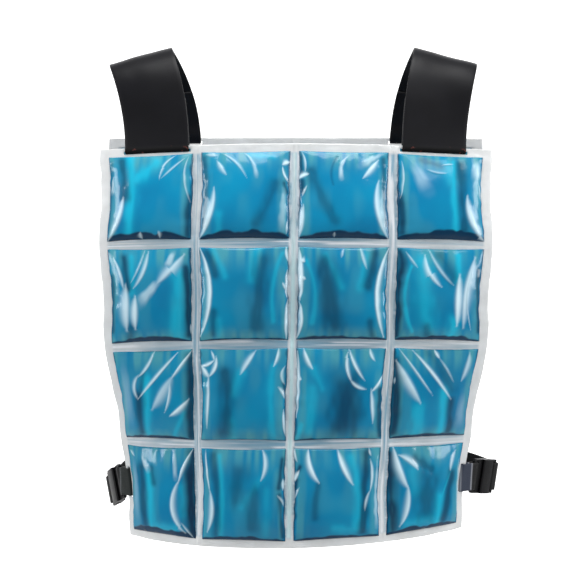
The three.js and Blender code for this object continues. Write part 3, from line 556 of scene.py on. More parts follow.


# The folds and shades of each front pouch, by its row and column, one in a row. They are read from
# enlargements of the photo with a line at every tenth of a pouch, and every length is in those tenths. bend
# is how far the middle stands off to the right of a line that runs down, width is at the widest, and
# strength is out of ten.
# Each kind is painted into the liquid's colour: the near-white and sheen rows as painted highlights, the
# cyan rows as painted light and the navy rows as painted shade. Each also lifts or sinks the face by
# FOLD_HEIGHTS.
FOLD_COLUMNS = ("kind", "start_x", "start_y", "end_x", "end_y", "bend", "width", "strength")
FOLDS = {
    (0, 0): [
        ("painted_shade", 0.3, 1.0, 0.2, 9.0, 0, 0.5, 5),
        ("painted_shade", 1.8, 0.8, 2.3, 5.2, 0.1, 0.9, 7),
        ("painted_shade", 9.7, 5.2, 9.6, 9.4, 0, 0.6, 8),
        ("painted_light", 2.7, 0.5, 3.0, 9.0, 0.2, 0.9, 8),
        ("painted_light", 5.8, 1.0, 3.0, 3.4, 0.2, 1.0, 7),
        ("sheen", 0.6, 2.6, 0.5, 4.6, 0, 0.3, 4),
        ("painted_highlight", 2.1, 5.2, 0.2, 9.9, 0.5, 0.7, 7),
        ("painted_highlight", 8.0, 0.2, 6.2, 3.3, -0.4, 0.2, 6),
        ("painted_highlight", 9.0, 0.7, 6.5, 3.1, 0, 0.2, 5),
        ("painted_highlight", 9.5, 0.4, 9.8, 5.8, -0.6, 0.2, 5),
        ("painted_highlight", 4.3, 9.1, 4.4, 9.9, 0, 0.4, 6),
        ("painted_highlight", 6.4, 9.0, 6.5, 9.8, 0, 0.3, 6),
    ],
    (0, 1): [
        ("painted_shade", 0.4, 0.8, 0.5, 8.6, 0, 0.6, 6),
        ("painted_shade", 8.4, 4.0, 6.4, 8.4, 0.2, 0.9, 5),
        ("painted_shade", 9.4, 3.9, 9.7, 4.9, 0, 0.4, 8),
        ("painted_light", 5.5, 0.5, 8.0, 0.8, 0, 0.6, 5),
        ("painted_light", 2.3, 7.4, 2.3, 9.4, 0, 0.7, 4),
        ("sheen", 4.9, 0.2, 6.3, 3.3, 0.3, 0.3, 4),
        ("sheen", 9.3, 4.6, 9.2, 9.0, 0, 0.6, 3),
        ("painted_highlight", 1.6, 4.4, 0.1, 9.9, 0.5, 0.6, 8),
        ("painted_highlight", 0.7, 0.4, 1.8, 0.6, 0, 0.5, 5),
        ("painted_highlight", 1.9, 1.2, 3.0, 3.0, 0, 0.4, 6),
        ("painted_highlight", 2.4, 0.2, 5.2, 3.4, 0.3, 0.2, 5),
        ("painted_highlight", 9.1, 2.0, 9.9, 3.7, -0.2, 0.2, 9),
        ("painted_highlight", 9.1, 1.8, 9.9, 1.4, 0, 0.5, 9),
        ("painted_highlight", 9.7, 8.1, 9.6, 9.4, 0, 0.2, 6),
    ],
    (0, 2): [
        ("painted_shade", 1.3, 2.6, 3.9, 8.0, -0.1, 0.9, 5),
        ("painted_shade", 0.2, 0.8, 0.3, 2.7, 0, 0.4, 8),
        ("painted_shade", 0.3, 3.6, 0.3, 4.9, 0, 0.5, 8),
        ("painted_shade", 9.3, 1.0, 9.7, 8.4, 0, 0.4, 6),
        ("painted_shade", 4.2, 0.8, 3.8, 4.2, -0.4, 0.2, 4),
        ("sheen", 5.4, 0.6, 4.7, 3.5, -0.4, 0.3, 5),
        ("sheen", 9.1, 0.3, 6.8, 1.9, 0, 0.6, 4),
        ("painted_highlight", 8.8, 3.6, 9.8, 9.9, -0.7, 0.7, 8),
        ("painted_highlight", 8.7, 1.1, 7.0, 3.4, 0, 0.5, 8),
        ("painted_highlight", 0.4, 0.3, 0.7, 2.6, 0.2, 0.2, 7),
        ("painted_highlight", 0.0, 3.3, 1.1, 2.9, 0.1, 0.5, 9),
        ("painted_highlight", 0.9, 4.2, 0.4, 5.3, 0, 0.2, 6),
        ("painted_highlight", 0.5, 6.3, 0.2, 9.8, 0.1, 0.6, 8),
        ("painted_highlight", 4.0, 9.3, 4.0, 9.9, 0, 0.2, 5),
    ],
    (0, 3): [
        ("painted_shade", 7.1, 1.2, 7.4, 8.8, 0, 0.9, 7),
        ("painted_shade", 0.2, 5.4, 0.5, 9.2, 0.1, 0.6, 8),
        ("painted_shade", 2.7, 0.8, 4.9, 1.5, 0, 0.7, 5),
        ("painted_light", 6.3, 1.0, 6.4, 9.0, 0, 0.6, 8),
        ("painted_light", 5.6, 1.2, 6.3, 3.4, 0, 1.2, 6),
        ("sheen", 1.6, 1.2, 3.4, 4.6, 0, 1.1, 3),
        ("sheen", 9.0, 0.5, 9.3, 3.0, 0, 0.9, 5),
        ("painted_highlight", 7.9, 5.0, 9.9, 9.9, -0.7, 0.8, 8),
        ("painted_highlight", 3.3, 2.0, 5.6, 2.4, -0.2, 0.2, 5),
        ("painted_highlight", 5.0, 1.4, 6.3, 1.2, 0, 0.2, 5),
        ("painted_highlight", 0.5, 1.0, 0.3, 5.4, 0.3, 0.2, 6),
        ("painted_highlight", 9.4, 3.2, 9.7, 5.4, 0, 0.2, 5),
    ],
    (1, 0): [
        ("painted_shade", 2.2, 1.0, 2.6, 4.2, 0, 0.7, 8),
        ("painted_shade", 9.4, 2.2, 9.7, 9.2, 0.1, 0.6, 9),
        ("painted_shade", 0.4, 3.0, 0.3, 8.5, 0, 0.5, 7),
        ("painted_shade", 2.9, 8.2, 2.8, 9.2, 0, 0.9, 6),
        ("painted_light", 8.6, 3.0, 8.4, 9.2, 0, 1.3, 7),
        ("painted_light", 3.1, 1.0, 3.0, 4.6, 0, 0.6, 6),
        ("sheen", 8.0, 0.5, 7.3, 2.1, 0, 0.6, 5),
        ("painted_highlight", 0.9, 1.0, 2.0, 4.3, 0.2, 0.4, 7),
        ("painted_highlight", 2.3, 3.9, 2.4, 8.4, 0, 1.1, 8),
        ("painted_highlight", 3.5, 5.0, 3.5, 8.3, 0, 0.8, 9),
        ("painted_highlight", 4.7, 0.1, 3.0, 3.6, 0.3, 0.2, 5),
        ("painted_highlight", 5.1, 0.3, 3.3, 4.2, 0.5, 0.4, 7),
        ("painted_highlight", 9.2, 0.8, 6.0, 3.9, 0.1, 0.8, 7),
        ("sheen", 6.4, 3.5, 3.9, 5.8, 0, 0.8, 5),
        ("painted_highlight", 9.9, 8.1, 9.9, 9.1, 0, 0.2, 7),
    ],
    (1, 1): [
        ("painted_shade", 1.0, 0.6, 1.9, 3.0, 0.1, 0.7, 6),
        ("painted_shade", 1.7, 6.8, 1.7, 9.2, 0, 0.6, 6),
        ("painted_shade", 7.2, 1.5, 6.4, 8.4, 0, 1.3, 6),
        ("painted_light", 9.2, 0.8, 8.3, 7.9, -0.5, 0.4, 5),
        ("painted_light", 1.5, 0.2, 3.0, 3.2, 0.1, 0.6, 5),
        ("painted_light", 6.5, 0.2, 5.8, 3.6, 0, 0.9, 5),
        ("painted_light", 2.2, 7.8, 2.4, 9.4, 0, 0.6, 4),
        ("painted_highlight", 0.2, 0.2, 0.2, 9.4, 1.1, 0.5, 10),
        ("painted_highlight", 9.6, 0.1, 9.9, 1.6, -0.1, 0.3, 8),
        ("painted_highlight", 9.8, 2.6, 9.8, 5.4, 0, 0.4, 8),
        ("painted_highlight", 9.3, 3.9, 9.8, 4.7, 0, 0.3, 7),
        ("painted_highlight", 9.9, 5.7, 9.7, 9.8, -0.1, 0.4, 9),
    ],
    (1, 2): [
        ("painted_shade", 3.0, 1.8, 3.9, 8.2, 0.1, 1.6, 7),
        ("painted_shade", 8.4, 0.8, 7.7, 4.2, 0, 0.9, 7),
        ("painted_shade", 8.0, 8.0, 8.2, 9.6, 0, 0.6, 6),
        ("painted_light", 1.0, 1.6, 1.7, 8.0, 0.6, 0.4, 5),
        ("painted_light", 7.5, 1.0, 6.9, 4.4, 0, 0.8, 5),
        ("painted_light", 3.1, 0.9, 4.8, 4.4, 0, 0.6, 5),
        ("painted_highlight", 0.2, 0.2, 0.3, 5.7, 0.2, 0.6, 10),
        ("painted_highlight", 0.3, 1.5, 0.8, 1.7, 0, 0.5, 9),
        ("painted_highlight", 0.3, 3.2, 0.9, 3.5, 0, 0.5, 9),
        ("painted_highlight", 0.2, 5.9, 0.1, 9.7, 0.4, 0.4, 9),
        ("painted_highlight", 5.0, 0.2, 4.8, 1.2, 0, 0.2, 5),
        ("painted_highlight", 6.8, 0.1, 7.5, 2.4, -0.1, 0.3, 6),
        ("painted_highlight", 9.9, 0.2, 9.5, 9.6, -1.0, 0.5, 10),
    ],
    (1, 3): [
        ("painted_shade", 0.3, 0.5, 0.3, 3.2, 0.3, 0.7, 9),
        ("painted_shade", 0.3, 3.0, 0.2, 9.4, 0, 0.5, 9),
        ("painted_shade", 4.8, 0.8, 6.3, 3.2, 0, 1.0, 5),
        ("painted_shade", 9.4, 2.4, 9.8, 8.8, 0, 0.5, 8),
        ("painted_shade", 3.2, 8.4, 3.5, 9.6, 0, 0.8, 6),
        ("painted_light", 2.8, 1.8, 3.4, 8.2, 0, 1.4, 6),
        ("painted_light", 6.9, 0.8, 6.9, 3.4, 0, 0.6, 8),
        ("painted_light", 6.5, 7.6, 6.3, 9.4, 0, 0.9, 8),
        ("painted_light", 1.6, 2.1, 1.8, 8.9, -0.8, 0.3, 7),
        ("painted_highlight", 7.0, 2.9, 6.8, 8.1, 0, 0.8, 10),
        ("painted_highlight", 8.8, 1.0, 7.6, 8.3, -0.3, 0.9, 8),
        ("painted_highlight", 8.7, 2.2, 8.6, 8.6, -0.6, 0.2, 6),
        ("painted_highlight", 3.5, 0.1, 6.4, 4.0, -0.4, 0.3, 5),
        ("painted_highlight", 3.1, 0.8, 5.0, 4.2, -0.5, 0.5, 8),
        ("painted_highlight", 1.0, 0.5, 2.3, 2.2, 0, 0.2, 5),
    ],
    (2, 0): [
        ("painted_shade", 3.3, 4.8, 3.4, 9.0, 0, 0.9, 8),
        ("painted_shade", 9.7, 1.0, 9.7, 9.5, 0, 0.8, 9),
        ("painted_shade", 4.0, 2.6, 3.5, 4.6, 0, 0.5, 5),
        ("painted_light", 4.3, 3.0, 4.2, 9.2, 0, 0.8, 8),
        ("painted_light", 9.0, 6.9, 7.7, 9.4, 0, 0.4, 5),
        ("sheen", 1.4, 1.0, 1.6, 8.6, 0, 1.2, 2),
        ("painted_highlight", 5.5, 0.0, 3.3, 2.8, 0.4, 0.3, 8),
        ("painted_highlight", 3.4, 2.6, 3.1, 5.2, -0.5, 0.4, 7),
        ("painted_highlight", 8.3, 0.3, 3.1, 5.2, 0.1, 0.3, 9),
        ("painted_highlight", 9.9, 0.2, 7.4, 3.2, 0, 0.3, 9),
        ("painted_highlight", 7.7, 2.8, 5.0, 6.3, -0.1, 1.0, 6),
        ("painted_highlight", 7.3, 3.1, 6.6, 6.7, 0.2, 0.3, 8),
        ("painted_highlight", 9.5, 5.4, 7.2, 7.1, 0.1, 0.5, 10),
    ],
    (2, 1): [
        ("painted_shade", 3.0, 2.6, 3.0, 8.8, 0.3, 1.3, 7),
        ("painted_shade", 9.6, 3.9, 9.8, 4.7, 0, 0.4, 9),
        ("painted_light", 8.4, 2.0, 8.6, 9.4, -0.3, 0.6, 5),
        ("painted_light", 4.8, 2.6, 4.1, 4.8, -0.1, 0.8, 5),
        ("painted_light", 3.9, 7.8, 3.9, 9.7, 0, 0.8, 4),
        ("painted_highlight", 1.1, 2.7, 0.9, 8.5, 0, 0.4, 8),
        ("painted_highlight", 0.1, 1.8, 1.1, 3.1, 0.1, 0.5, 9),
        ("painted_highlight", 0.1, 1.9, 1.8, 1.2, -0.2, 0.3, 9),
        ("painted_highlight", 1.4, 0.2, 1.8, 1.3, 0.1, 0.2, 8),
        ("painted_highlight", 2.0, 0.8, 1.1, 3.0, 0.4, 0.4, 9),
        ("painted_highlight", 6.4, 0.2, 4.8, 2.8, 0, 0.5, 7),
        ("painted_highlight", 8.9, 0.0, 8.4, 2.0, 0.1, 0.3, 8),
        ("painted_highlight", 9.7, 2.0, 9.7, 3.9, -0.4, 0.3, 6),
        ("painted_highlight", 9.0, 4.2, 9.8, 5.4, 0.1, 0.3, 7),
        ("painted_highlight", 9.7, 6.6, 9.9, 9.4, -0.1, 0.3, 8),
    ],
    (2, 2): [
        ("painted_shade", 5.6, 4.2, 5.6, 8.2, 0, 2.4, 8),
        ("painted_shade", 9.6, 4.6, 9.7, 9.5, -0.1, 0.5, 8),
        ("painted_light", 1.9, 4.4, 1.6, 9.0, 0, 0.9, 5),
        ("painted_light", 2.0, 2.3, 3.0, 4.4, 0, 0.6, 4),
        ("painted_light", 0.8, 8.2, 0.4, 9.8, 0, 0.5, 6),
        ("painted_highlight", 0.2, 0.4, 0.2, 7.4, 0.1, 0.4, 8),
        ("painted_highlight", 0.1, 3.4, 0.6, 3.4, 0, 0.5, 8),
        ("painted_highlight", 0.9, 0.1, 1.9, 2.3, -0.1, 0.4, 9),
        ("painted_highlight", 5.7, 0.4, 6.2, 3.7, -0.4, 0.3, 9),
        ("painted_highlight", 6.0, 3.4, 7.8, 4.4, -0.3, 0.3, 8),
        ("painted_highlight", 5.8, 0.0, 7.6, 3.5, -0.3, 0.3, 9),
        ("painted_highlight", 8.1, 0.0, 8.7, 1.4, -0.2, 0.3, 8),
        ("painted_highlight", 9.8, 3.0, 8.4, 4.7, 0.1, 0.3, 9),
        ("painted_highlight", 8.4, 4.4, 8.7, 8.0, 0, 0.4, 8),
    ],
    (2, 3): [
        ("painted_shade", 0.2, 1.4, 0.4, 9.2, 0.2, 0.7, 9),
        ("painted_shade", 7.1, 5.6, 7.1, 9.2, 0, 0.8, 8),
        ("painted_shade", 4.2, 0.6, 7.0, 4.4, 0, 1.0, 4),
        ("painted_light", 6.0, 4.6, 6.1, 9.0, 0, 0.9, 8),
        ("painted_light", 3.0, 6.4, 2.9, 9.2, 0, 1.0, 6),
        ("sheen", 8.6, 4.6, 8.6, 9.0, 0, 1.1, 2),
        ("painted_highlight", 0.6, 0.1, 4.7, 5.0, 0, 0.2, 8),
        ("painted_highlight", 2.1, 0.2, 7.0, 5.4, 0, 0.3, 10),
        ("painted_highlight", 0.3, 1.4, 3.3, 5.8, 0, 0.8, 8),
        ("painted_highlight", 4.6, 0.0, 5.2, 1.0, -0.1, 0.3, 9),
        ("painted_highlight", 5.1, 0.9, 7.1, 3.5, 0, 0.2, 5),
        ("painted_highlight", 8.8, 0.4, 8.1, 3.4, 0.1, 0.6, 6),
        ("painted_highlight", 0.2, 3.2, 0.2, 3.9, 0, 0.2, 6),
    ],
    (3, 0): [
        ("painted_shade", 9.8, 0.6, 9.8, 9.6, -0.3, 1.0, 10),
        ("painted_shade", 2.6, 2.4, 3.0, 9.0, 0, 1.0, 7),
        ("painted_shade", 4.4, 2.4, 4.6, 4.0, 0, 0.6, 6),
        ("painted_light", 3.9, 3.0, 4.1, 9.2, 0, 0.9, 8),
        ("painted_light", 8.5, 4.4, 8.8, 7.2, 0, 0.8, 4),
        ("painted_light", 4.4, 8.8, 7.6, 8.9, 0, 0.8, 5),
        ("sheen", 1.3, 1.4, 1.5, 8.8, 0, 0.9, 2),
        ("sheen", 2.9, 0.8, 3.9, 2.6, -0.2, 0.5, 5),
        ("sheen", 7.5, 0.4, 7.7, 3.4, 0, 0.4, 4),
        ("painted_highlight", 9.8, 0.2, 8.0, 4.0, -0.2, 0.3, 9),
        ("painted_highlight", 8.1, 3.6, 8.8, 9.3, -1.3, 0.6, 8),
        ("painted_highlight", 8.4, 8.2, 9.7, 9.9, 0, 0.2, 6),
        ("painted_highlight", 0.6, 0.6, 1.4, 1.2, 0, 0.3, 6),
    ],
    (3, 1): [
        ("painted_shade", 1.7, 0.8, 2.0, 9.2, 0.3, 0.8, 6),
        ("painted_shade", 4.8, 2.4, 4.4, 5.4, 0, 1.3, 5),
        ("painted_shade", 6.4, 4.8, 6.2, 8.2, 0, 1.2, 5),
        ("painted_shade", 9.6, 1.2, 9.3, 4.2, 0, 0.4, 8),
        ("painted_shade", 9.4, 5.0, 9.7, 9.4, 0, 0.4, 7),
        ("painted_light", 2.4, 0.8, 2.5, 9.2, 0.3, 0.5, 7),
        ("painted_light", 7.9, 4.6, 7.8, 9.2, 0, 0.7, 3),
        ("painted_light", 7.2, 3.3, 5.0, 6.2, 0, 0.6, 3),
        ("painted_highlight", 0.7, 0.2, 1.2, 4.8, -0.1, 0.2, 9),
        ("painted_highlight", 1.2, 4.6, 0.9, 9.0, 0.5, 0.6, 8),
        ("painted_highlight", 7.3, 0.0, 7.2, 3.4, 0.4, 0.4, 8),
        ("painted_highlight", 9.7, 3.3, 9.8, 4.4, 0, 0.4, 7),
        ("painted_highlight", 9.1, 5.0, 9.8, 6.1, 0.1, 0.2, 6),
    ],
    (3, 2): [
        ("painted_shade", 8.1, 0.6, 7.8, 9.2, 0, 0.8, 8),
        ("painted_shade", 2.7, 4.0, 2.4, 7.4, -0.1, 0.5, 5),
        ("painted_shade", 0.7, 2.0, 0.2, 2.9, 0, 0.4, 9),
        ("painted_shade", 0.3, 3.4, 0.1, 4.4, 0, 0.5, 9),
        ("painted_light", 6.4, 1.0, 7.0, 8.6, 0.5, 0.8, 6),
        ("painted_light", 4.6, 8.6, 7.0, 8.9, 0, 0.6, 4),
        ("sheen", 9.5, 1.6, 9.5, 8.8, 0, 0.4, 4),
        ("painted_highlight", 1.7, 0.0, 2.9, 3.7, -0.4, 0.5, 10),
        ("painted_highlight", 4.9, 0.0, 6.6, 4.0, -0.3, 0.5, 10),
        ("painted_highlight", 8.5, 0.1, 8.7, 0.9, -0.1, 0.2, 7),
        ("painted_highlight", 8.6, 1.3, 8.7, 4.8, 0.2, 0.3, 8),
        ("painted_highlight", 8.7, 4.7, 8.0, 6.8, -0.2, 0.3, 6),
        ("painted_highlight", 0.2, 0.0, 0.4, 1.4, -0.1, 0.3, 7),
        ("painted_highlight", 0.6, 2.4, 0.0, 3.6, 0, 0.4, 9),
        ("painted_highlight", 0.6, 4.2, 0.0, 5.4, 0, 0.2, 5),
    ],
    (3, 3): [
        ("painted_shade", 0.1, 0.8, 0.7, 9.6, 0, 0.8, 9),
        ("painted_shade", 4.8, 4.0, 4.6, 7.4, 0, 2.0, 6),
        ("painted_shade", 3.3, 1.4, 5.2, 2.8, 0, 0.8, 6),
        ("painted_shade", 8.4, 3.4, 7.2, 8.8, 0.1, 0.9, 8),
        ("painted_light", 6.6, 6.0, 6.2, 9.0, 0, 0.8, 8),
        ("painted_light", 8.2, 2.8, 6.5, 6.8, 0.1, 0.2, 6),
        ("painted_light", 2.4, 8.7, 6.0, 8.6, 0, 0.9, 5),
        ("painted_light", 2.8, 3.0, 3.2, 5.0, 0, 1.2, 4),
        ("painted_highlight", 0.6, 0.1, 2.4, 4.8, -0.2, 0.7, 9),
        ("painted_highlight", 2.3, 4.4, 1.5, 9.0, 0.5, 0.6, 8),
        ("painted_highlight", 1.2, 1.0, 3.5, 2.7, 0.2, 0.6, 8),
        ("painted_highlight", 8.7, 0.8, 8.0, 3.1, -0.3, 0.5, 7),
        ("painted_highlight", 9.5, 2.0, 9.6, 9.0, 0, 0.4, 5),
    ],
}
FOLD_HEIGHTS = {"painted_highlight": 0.6, "sheen": 0.45, "painted_light": 0.25, "painted_shade": -0.3}
# How far the painted shade along each pouch's lower edge reaches, in tenths of the pouch; the face steps
# down a little there too.
LIPS = [
    [0.9, 0.8, 0.8, 1],
    [0.6, 0.3, 0.5, 0.6],
    [0.6, 0.1, 0.3, 0.6],
    [0.9, 0.6, 0.6, 0.8],
]


def fold_line(fold):
    """A fold's bent line as close points, in hundredths of the pouch."""
    start = 10 * np.array([fold["start_x"], fold["start_y"]])
    end = 10 * np.array([fold["end_x"], fold["end_y"]])
    run = end - start
    side = np.array([run[1], -run[0]]) / np.linalg.norm(run)
    pull = (start + end) / 2 + 20 * fold["bend"] * side
    t = np.linspace(0, 1, 17)[:, None]
    return (1 - t) ** 2 * start + 2 * t * (1 - t) * pull + t**2 * end


def pouch(name, panel, row, column, cells, fold_row):
    """A filled pouch as one closed mesh, with its folds. Its inner face has a third of the lines."""
    box = pouch_box(row, column)
    left, right, top, bottom = box
    lines = np.sin(np.linspace(-1, 1, cells + 1) * np.pi / 2 * 0.8) / np.sin(np.pi / 2 * 0.8)
    a, b = np.meshgrid(lines, lines, indexing="ij")
    x, y = (a + 1) * 50, (b + 1) * 50
    u = (left + right) / 2 + a * (right - left) / 2
    v = (top + bottom) / 2 + b * (bottom - top) / 2
    fullness = (1 - np.abs(a) ** EDGE_POWER) * (1 - np.abs(b) ** EDGE_POWER)
    swell = fullness**SWELL_POWER * (1 + SETTLING * b)
    rim = np.clip(swell * 3, 0, 1)
    seed = row * COLUMNS + column + (ROWS * COLUMNS if name == "back" else 0)
    puckers = sum(
        np.exp(-((1 - s * c) / 0.16)) * noise(d / 7, s * 3 + seed, seed)
        for s in (-1, 1) for c, d in ((a, y), (b, x))
    )
    border = np.minimum(1 - np.abs(a), 1 - np.abs(b))
    height = OUTER_BULGE * swell + DIMPLE * rim * noise(x / 24, y / 24, seed) + PUCKER * puckers * rim
    height = height + WELD_STEP * smooth(border, 0, 0.03)
    shades = {kind: np.zeros_like(a) for kind in ("teal_tone_and_sheen", "painted_light", "painted_shade", "painted_highlight")}

    def deepen(kind, grid):
        shades[kind] = np.maximum(shades[kind], grid)

    for values in FOLDS[fold_row, column]:
        fold = dict(zip(FOLD_COLUMNS, values))
        kind, wide, strength = fold["kind"], 10 * fold["width"], fold["strength"] / 10
        near, along, outer_side = distance_to(fold_line(fold), x, y)
        taper = np.sin(np.pi * np.clip(along, 0.03, 0.97)) ** 0.6
        reach = wide / 2 * taper + 0.1
        # A painted highlight: sharp on the side towards the middle, spread out on the outer side.
        if kind == "painted_highlight":
            reach = reach * np.where(outer_side, 1.35, 0.6)
            close = np.exp(-((near / reach) ** 2)) * (0.4 + 0.6 * taper)
        elif kind == "sheen":
            ease = min(0.15 + 0.025 * wide, 0.5)
            taper = smooth(along, -0.12, ease) * smooth(1 - along, -0.12, ease)
            ragged = near + min(0.2 * wide, 1) * noise(x / 4, y / 7, seed + 3)
            close = (1 - smooth(ragged / (wide * (0.4 + 0.4 * along)), 0.2, 1.4)) * taper
        else:
            taper = 1
            ragged = near + 0.25 * wide * noise(x / 6, y / 14, seed + 3)
            close = np.exp(-((ragged / (0.7 * wide)) ** 2))
        height = height + FOLD_HEIGHTS[kind] * close * taper * rim
        deepen("painted_highlight" if kind == "sheen" else kind, strength * close)
    waves = 1 + 0.3 * noise(x / 15, seed, seed + 2) + 0.12 * noise(x / 5, seed, seed + 3)
    # Painted shade along the lower edge, where the face also steps down a little.
    depth = 10 * LIPS[fold_row][column] * (1 - 0.7 * a**4) * waves
    lip_shade = 1 - smooth(100 - y, depth - 1.5, depth + 1)
    height = height - 0.3 * lip_shade * rim
    deepen("painted_shade", lip_shade)
    # Painted sheen in streaks along the tops, and along the bottoms of the middle rows.
    streaks = 0.55 + 0.6 * noise(x / 4.5, y / 60, seed + 4)
    painted_sheen = (1 - smooth(y, 2, 34)) * streaks
    if row in (1, 2):
        painted_sheen = np.maximum(painted_sheen, smooth(y, 80, 97) * streaks)
    deepen("teal_tone_and_sheen", np.clip(painted_sheen, 0, 0.8))
    deepen("teal_tone_and_sheen", 0.22 * smooth(noise(x / 16, y / 30, seed + 5), 0, 0.8))
    from_side = 50 - np.abs(x - 50)
    strip = smooth(from_side, 2, 5) * (1 - smooth(from_side, 9, 17)) * smooth(y, 10, 30)
    deepen("teal_tone_and_sheen", 0.6 * strip * np.clip(0.7 + 0.6 * noise(x / 5, y / 40, seed + 1), 0, 1))
    # Painted shade along the sides and the lower edge, where the pouch meets the weld.
    edge_shade = 1 - smooth(from_side, 0.8, 3.6 + 1.6 * noise(y / 6, seed, seed + 6))
    edge_shade = np.maximum(edge_shade, 1 - smooth(100 - y, 0.5, 2.4 + 1.2 * noise(x / 7, seed, seed + 7)))
    deepen("painted_shade", 0.75 * edge_shade)
    moved_u, moved_v = pinched(box, u, v)
    wave = OUTLINE_WAVE * noise(y / 8, seed, seed + 1) * np.abs(a) ** 6 * (1 - b**2)
    moved_u = moved_u + np.sign(a) * wave
    point, across, down, out = drape(panel, moved_u, moved_v)
    sag = SAG * swell * smooth(b, -0.2, 1)
    outer = point + out * height[..., None] + down * sag[..., None]
    inner = point - out * (INNER_BULGE * swell)[..., None]
    count = cells + 1
    number = np.arange(count * count).reshape(count, count)
    corners = [number[:-1, :-1], number[:-1, 1:], number[1:, 1:], number[1:, :-1]]
    faces = [tuple(quad) for quad in np.stack(corners, axis=-1).reshape(-1, 4).tolist()]
    behind = number + count * count
    for edge in (np.s_[0], np.s_[-1], np.s_[:, 0], np.s_[:, -1]):
        behind[edge] = number[edge]
    for i in range(0, cells, INNER_STEP):
        for j in range(0, cells, INNER_STEP):
            m, n = i + INNER_STEP, j + INNER_STEP
            loop = list(behind[i:m, j] if j == 0 else behind[i:i + 1, j])
            loop += list(behind[m, j:n] if m == cells else behind[m, j:j + 1])
            loop += list(behind[m:i:-1, n] if n == cells else behind[m:m + 1, n])
            loop += list(behind[i, n:j:-1] if i == 0 else behind[i, n:n + 1])
            faces.append(tuple(int(k) for k in loop))
    points = np.concatenate([outer.reshape(-1, 3), inner.reshape(-1, 3)])
    points, faces, used = only_used(points, faces)
    if panel["facing"] * np.dot(np.cross(across[0, 0], down[0, 0]), out[0, 0]) > 0:
        faces = [face[::-1] for face in faces]
    node = f"{name}_pouch_r{row + 1}_c{column + 1}"
    obj = piece(f"{node}_filled", points, faces, LIQUID, [node])
    both = lambda grid: np.concatenate([grid.ravel(), grid.ravel()])[used]
    store_vector(obj, "flat", np.stack([both(u) * MM, both(v) * MM, both(u * 0)], axis=-1))
    for kind, grid in shades.items():
        # The inner face gets no painted highlights.
        inner_grid = 0 * grid if kind == "painted_highlight" else grid
        store(obj, kind, np.concatenate([grid.ravel(), inner_grid.ravel()])[used])
    return obj


def distance_to(line, x, y):
    """How far each point is from a bent line, how far along it the nearest place is, 0 to 1, and
    whether the point is on the line's side away from the pouch's middle."""
    lengths = np.linalg.norm(np.diff(line, axis=0), axis=1)
    total = max(lengths.sum(), 1e-9)
    best = np.full(x.shape, 1e9)
    along = np.zeros(x.shape)
    outer_side = np.zeros(x.shape, bool)
    done = 0.0
    for start, end, length in zip(line, line[1:], lengths):
        step = (end - start) / max(length, 1e-9)
        t = np.clip((x - start[0]) * step[0] + (y - start[1]) * step[1], 0, length)
        foot_x, foot_y = start[0] + t * step[0], start[1] + t * step[1]
        far = np.hypot(x - foot_x, y - foot_y)
        closer = far < best
        beyond = (x - foot_x) * (foot_x - 50) + (y - foot_y) * (foot_y - 50) > 0
        outer_side = np.where(closer, beyond, outer_side)
        best = np.where(closer, far, best)
        along = np.where(closer, (done + t) / total, along)
        done += length
    return best, along, outer_side


for panel_name, panel in PANELS.items():
    film_sheet(panel_name, panel)
    for row in range(ROWS):
        for column in range(COLUMNS):
            fold_row = row if panel_name == "front" else (row + BACK_SHIFT) % ROWS
            pouch(panel_name, panel, row, column, POUCH_CELLS[panel_name], fold_row)


# The bands: shoulder straps and webs.
def band(name, stations, width, thickness, material, replaced, closed=False, columns=20, ripple=None):
    """A band through stations of (middle, direction of its width, bend of its edges), with round edges."""
    at, across, bow = (np.array([s[k] for s in stations]) for k in range(3))
    count = len(at)
    if closed:
        along = unit(np.roll(at, -1, axis=0) - np.roll(at, 1, axis=0))
    else:
        along = unit(np.gradient(at, axis=0))
    normal = unit(np.cross(along, across))
    shoulder = 1 - thickness / width
    ws = np.concatenate([[-1, -(1 + shoulder) / 2], np.linspace(-shoulder, shoulder, columns + 1),
                         [(1 + shoulder) / 2, 1]])
    ns = np.sqrt(np.clip(1 - ((np.abs(ws) - shoulder) / (1 - shoulder)).clip(0, 1) ** 2, 0.09, 1))
    profile = [(w, n) for w, n in zip(ws, ns)] + [(w, -n) for w, n in zip(ws[::-1], ns[::-1])]
    length = np.concatenate([[0], np.cumsum(np.linalg.norm(np.diff(at, axis=0), axis=1))])
    w = np.array([p[0] for p in profile])[None, :]
    n = np.array([p[1] for p in profile])[None, :]
    s = length[:, None]
    lift = ripple(s, w, length[-1]) if ripple is not None else 0 * s * w
    points = (
        at[:, None, :]
        + across[:, None, :] * (w * width / 2)[..., None]
        + normal[:, None, :] * (n * thickness / 2 + lift)[..., None]
        + bow[:, None, :] * (w**2)[..., None]
    ).reshape(-1, 3)
    sides = len(profile)
    faces = []
    for i in range(count if closed else count - 1):
        j = (i + 1) % count
        for k in range(sides):
            m = (k + 1) % sides
            faces.append((sides * i + k, sides * i + m, sides * j + m, sides * j + k))
    if not closed:
        for end in (0, count - 1):
            for k in range(sides // 2 - 1):
                first, last = sides * end + k, sides * end + sides - 1 - k
                quad = (first, first + 1, last - 1, last)
                faces.append(quad[::-1] if end == 0 else quad)
    points = np.asarray(points)
    obj = piece(name, points, outward(points, faces), material, replaced)
    flat = np.stack([np.broadcast_to(w * width / 2 * MM, (count, sides)),
                     np.broadcast_to(s * MM, (count, sides)),
                     np.broadcast_to(n * 0.01, (count, sides))], axis=-1)
    store_vector(obj, "flat", flat.reshape(-1, 3))
    run = float(length[-1] + (np.linalg.norm(at[0] - at[-1]) if closed else 0))
    return obj, run


def bow_of(panel, start, middle, end):
    """How far the film's surface bends away from a band that lies on it, at the band's edges."""
    return (hang(panel, *start) + hang(panel, *end)) / 2 - hang(panel, *middle)


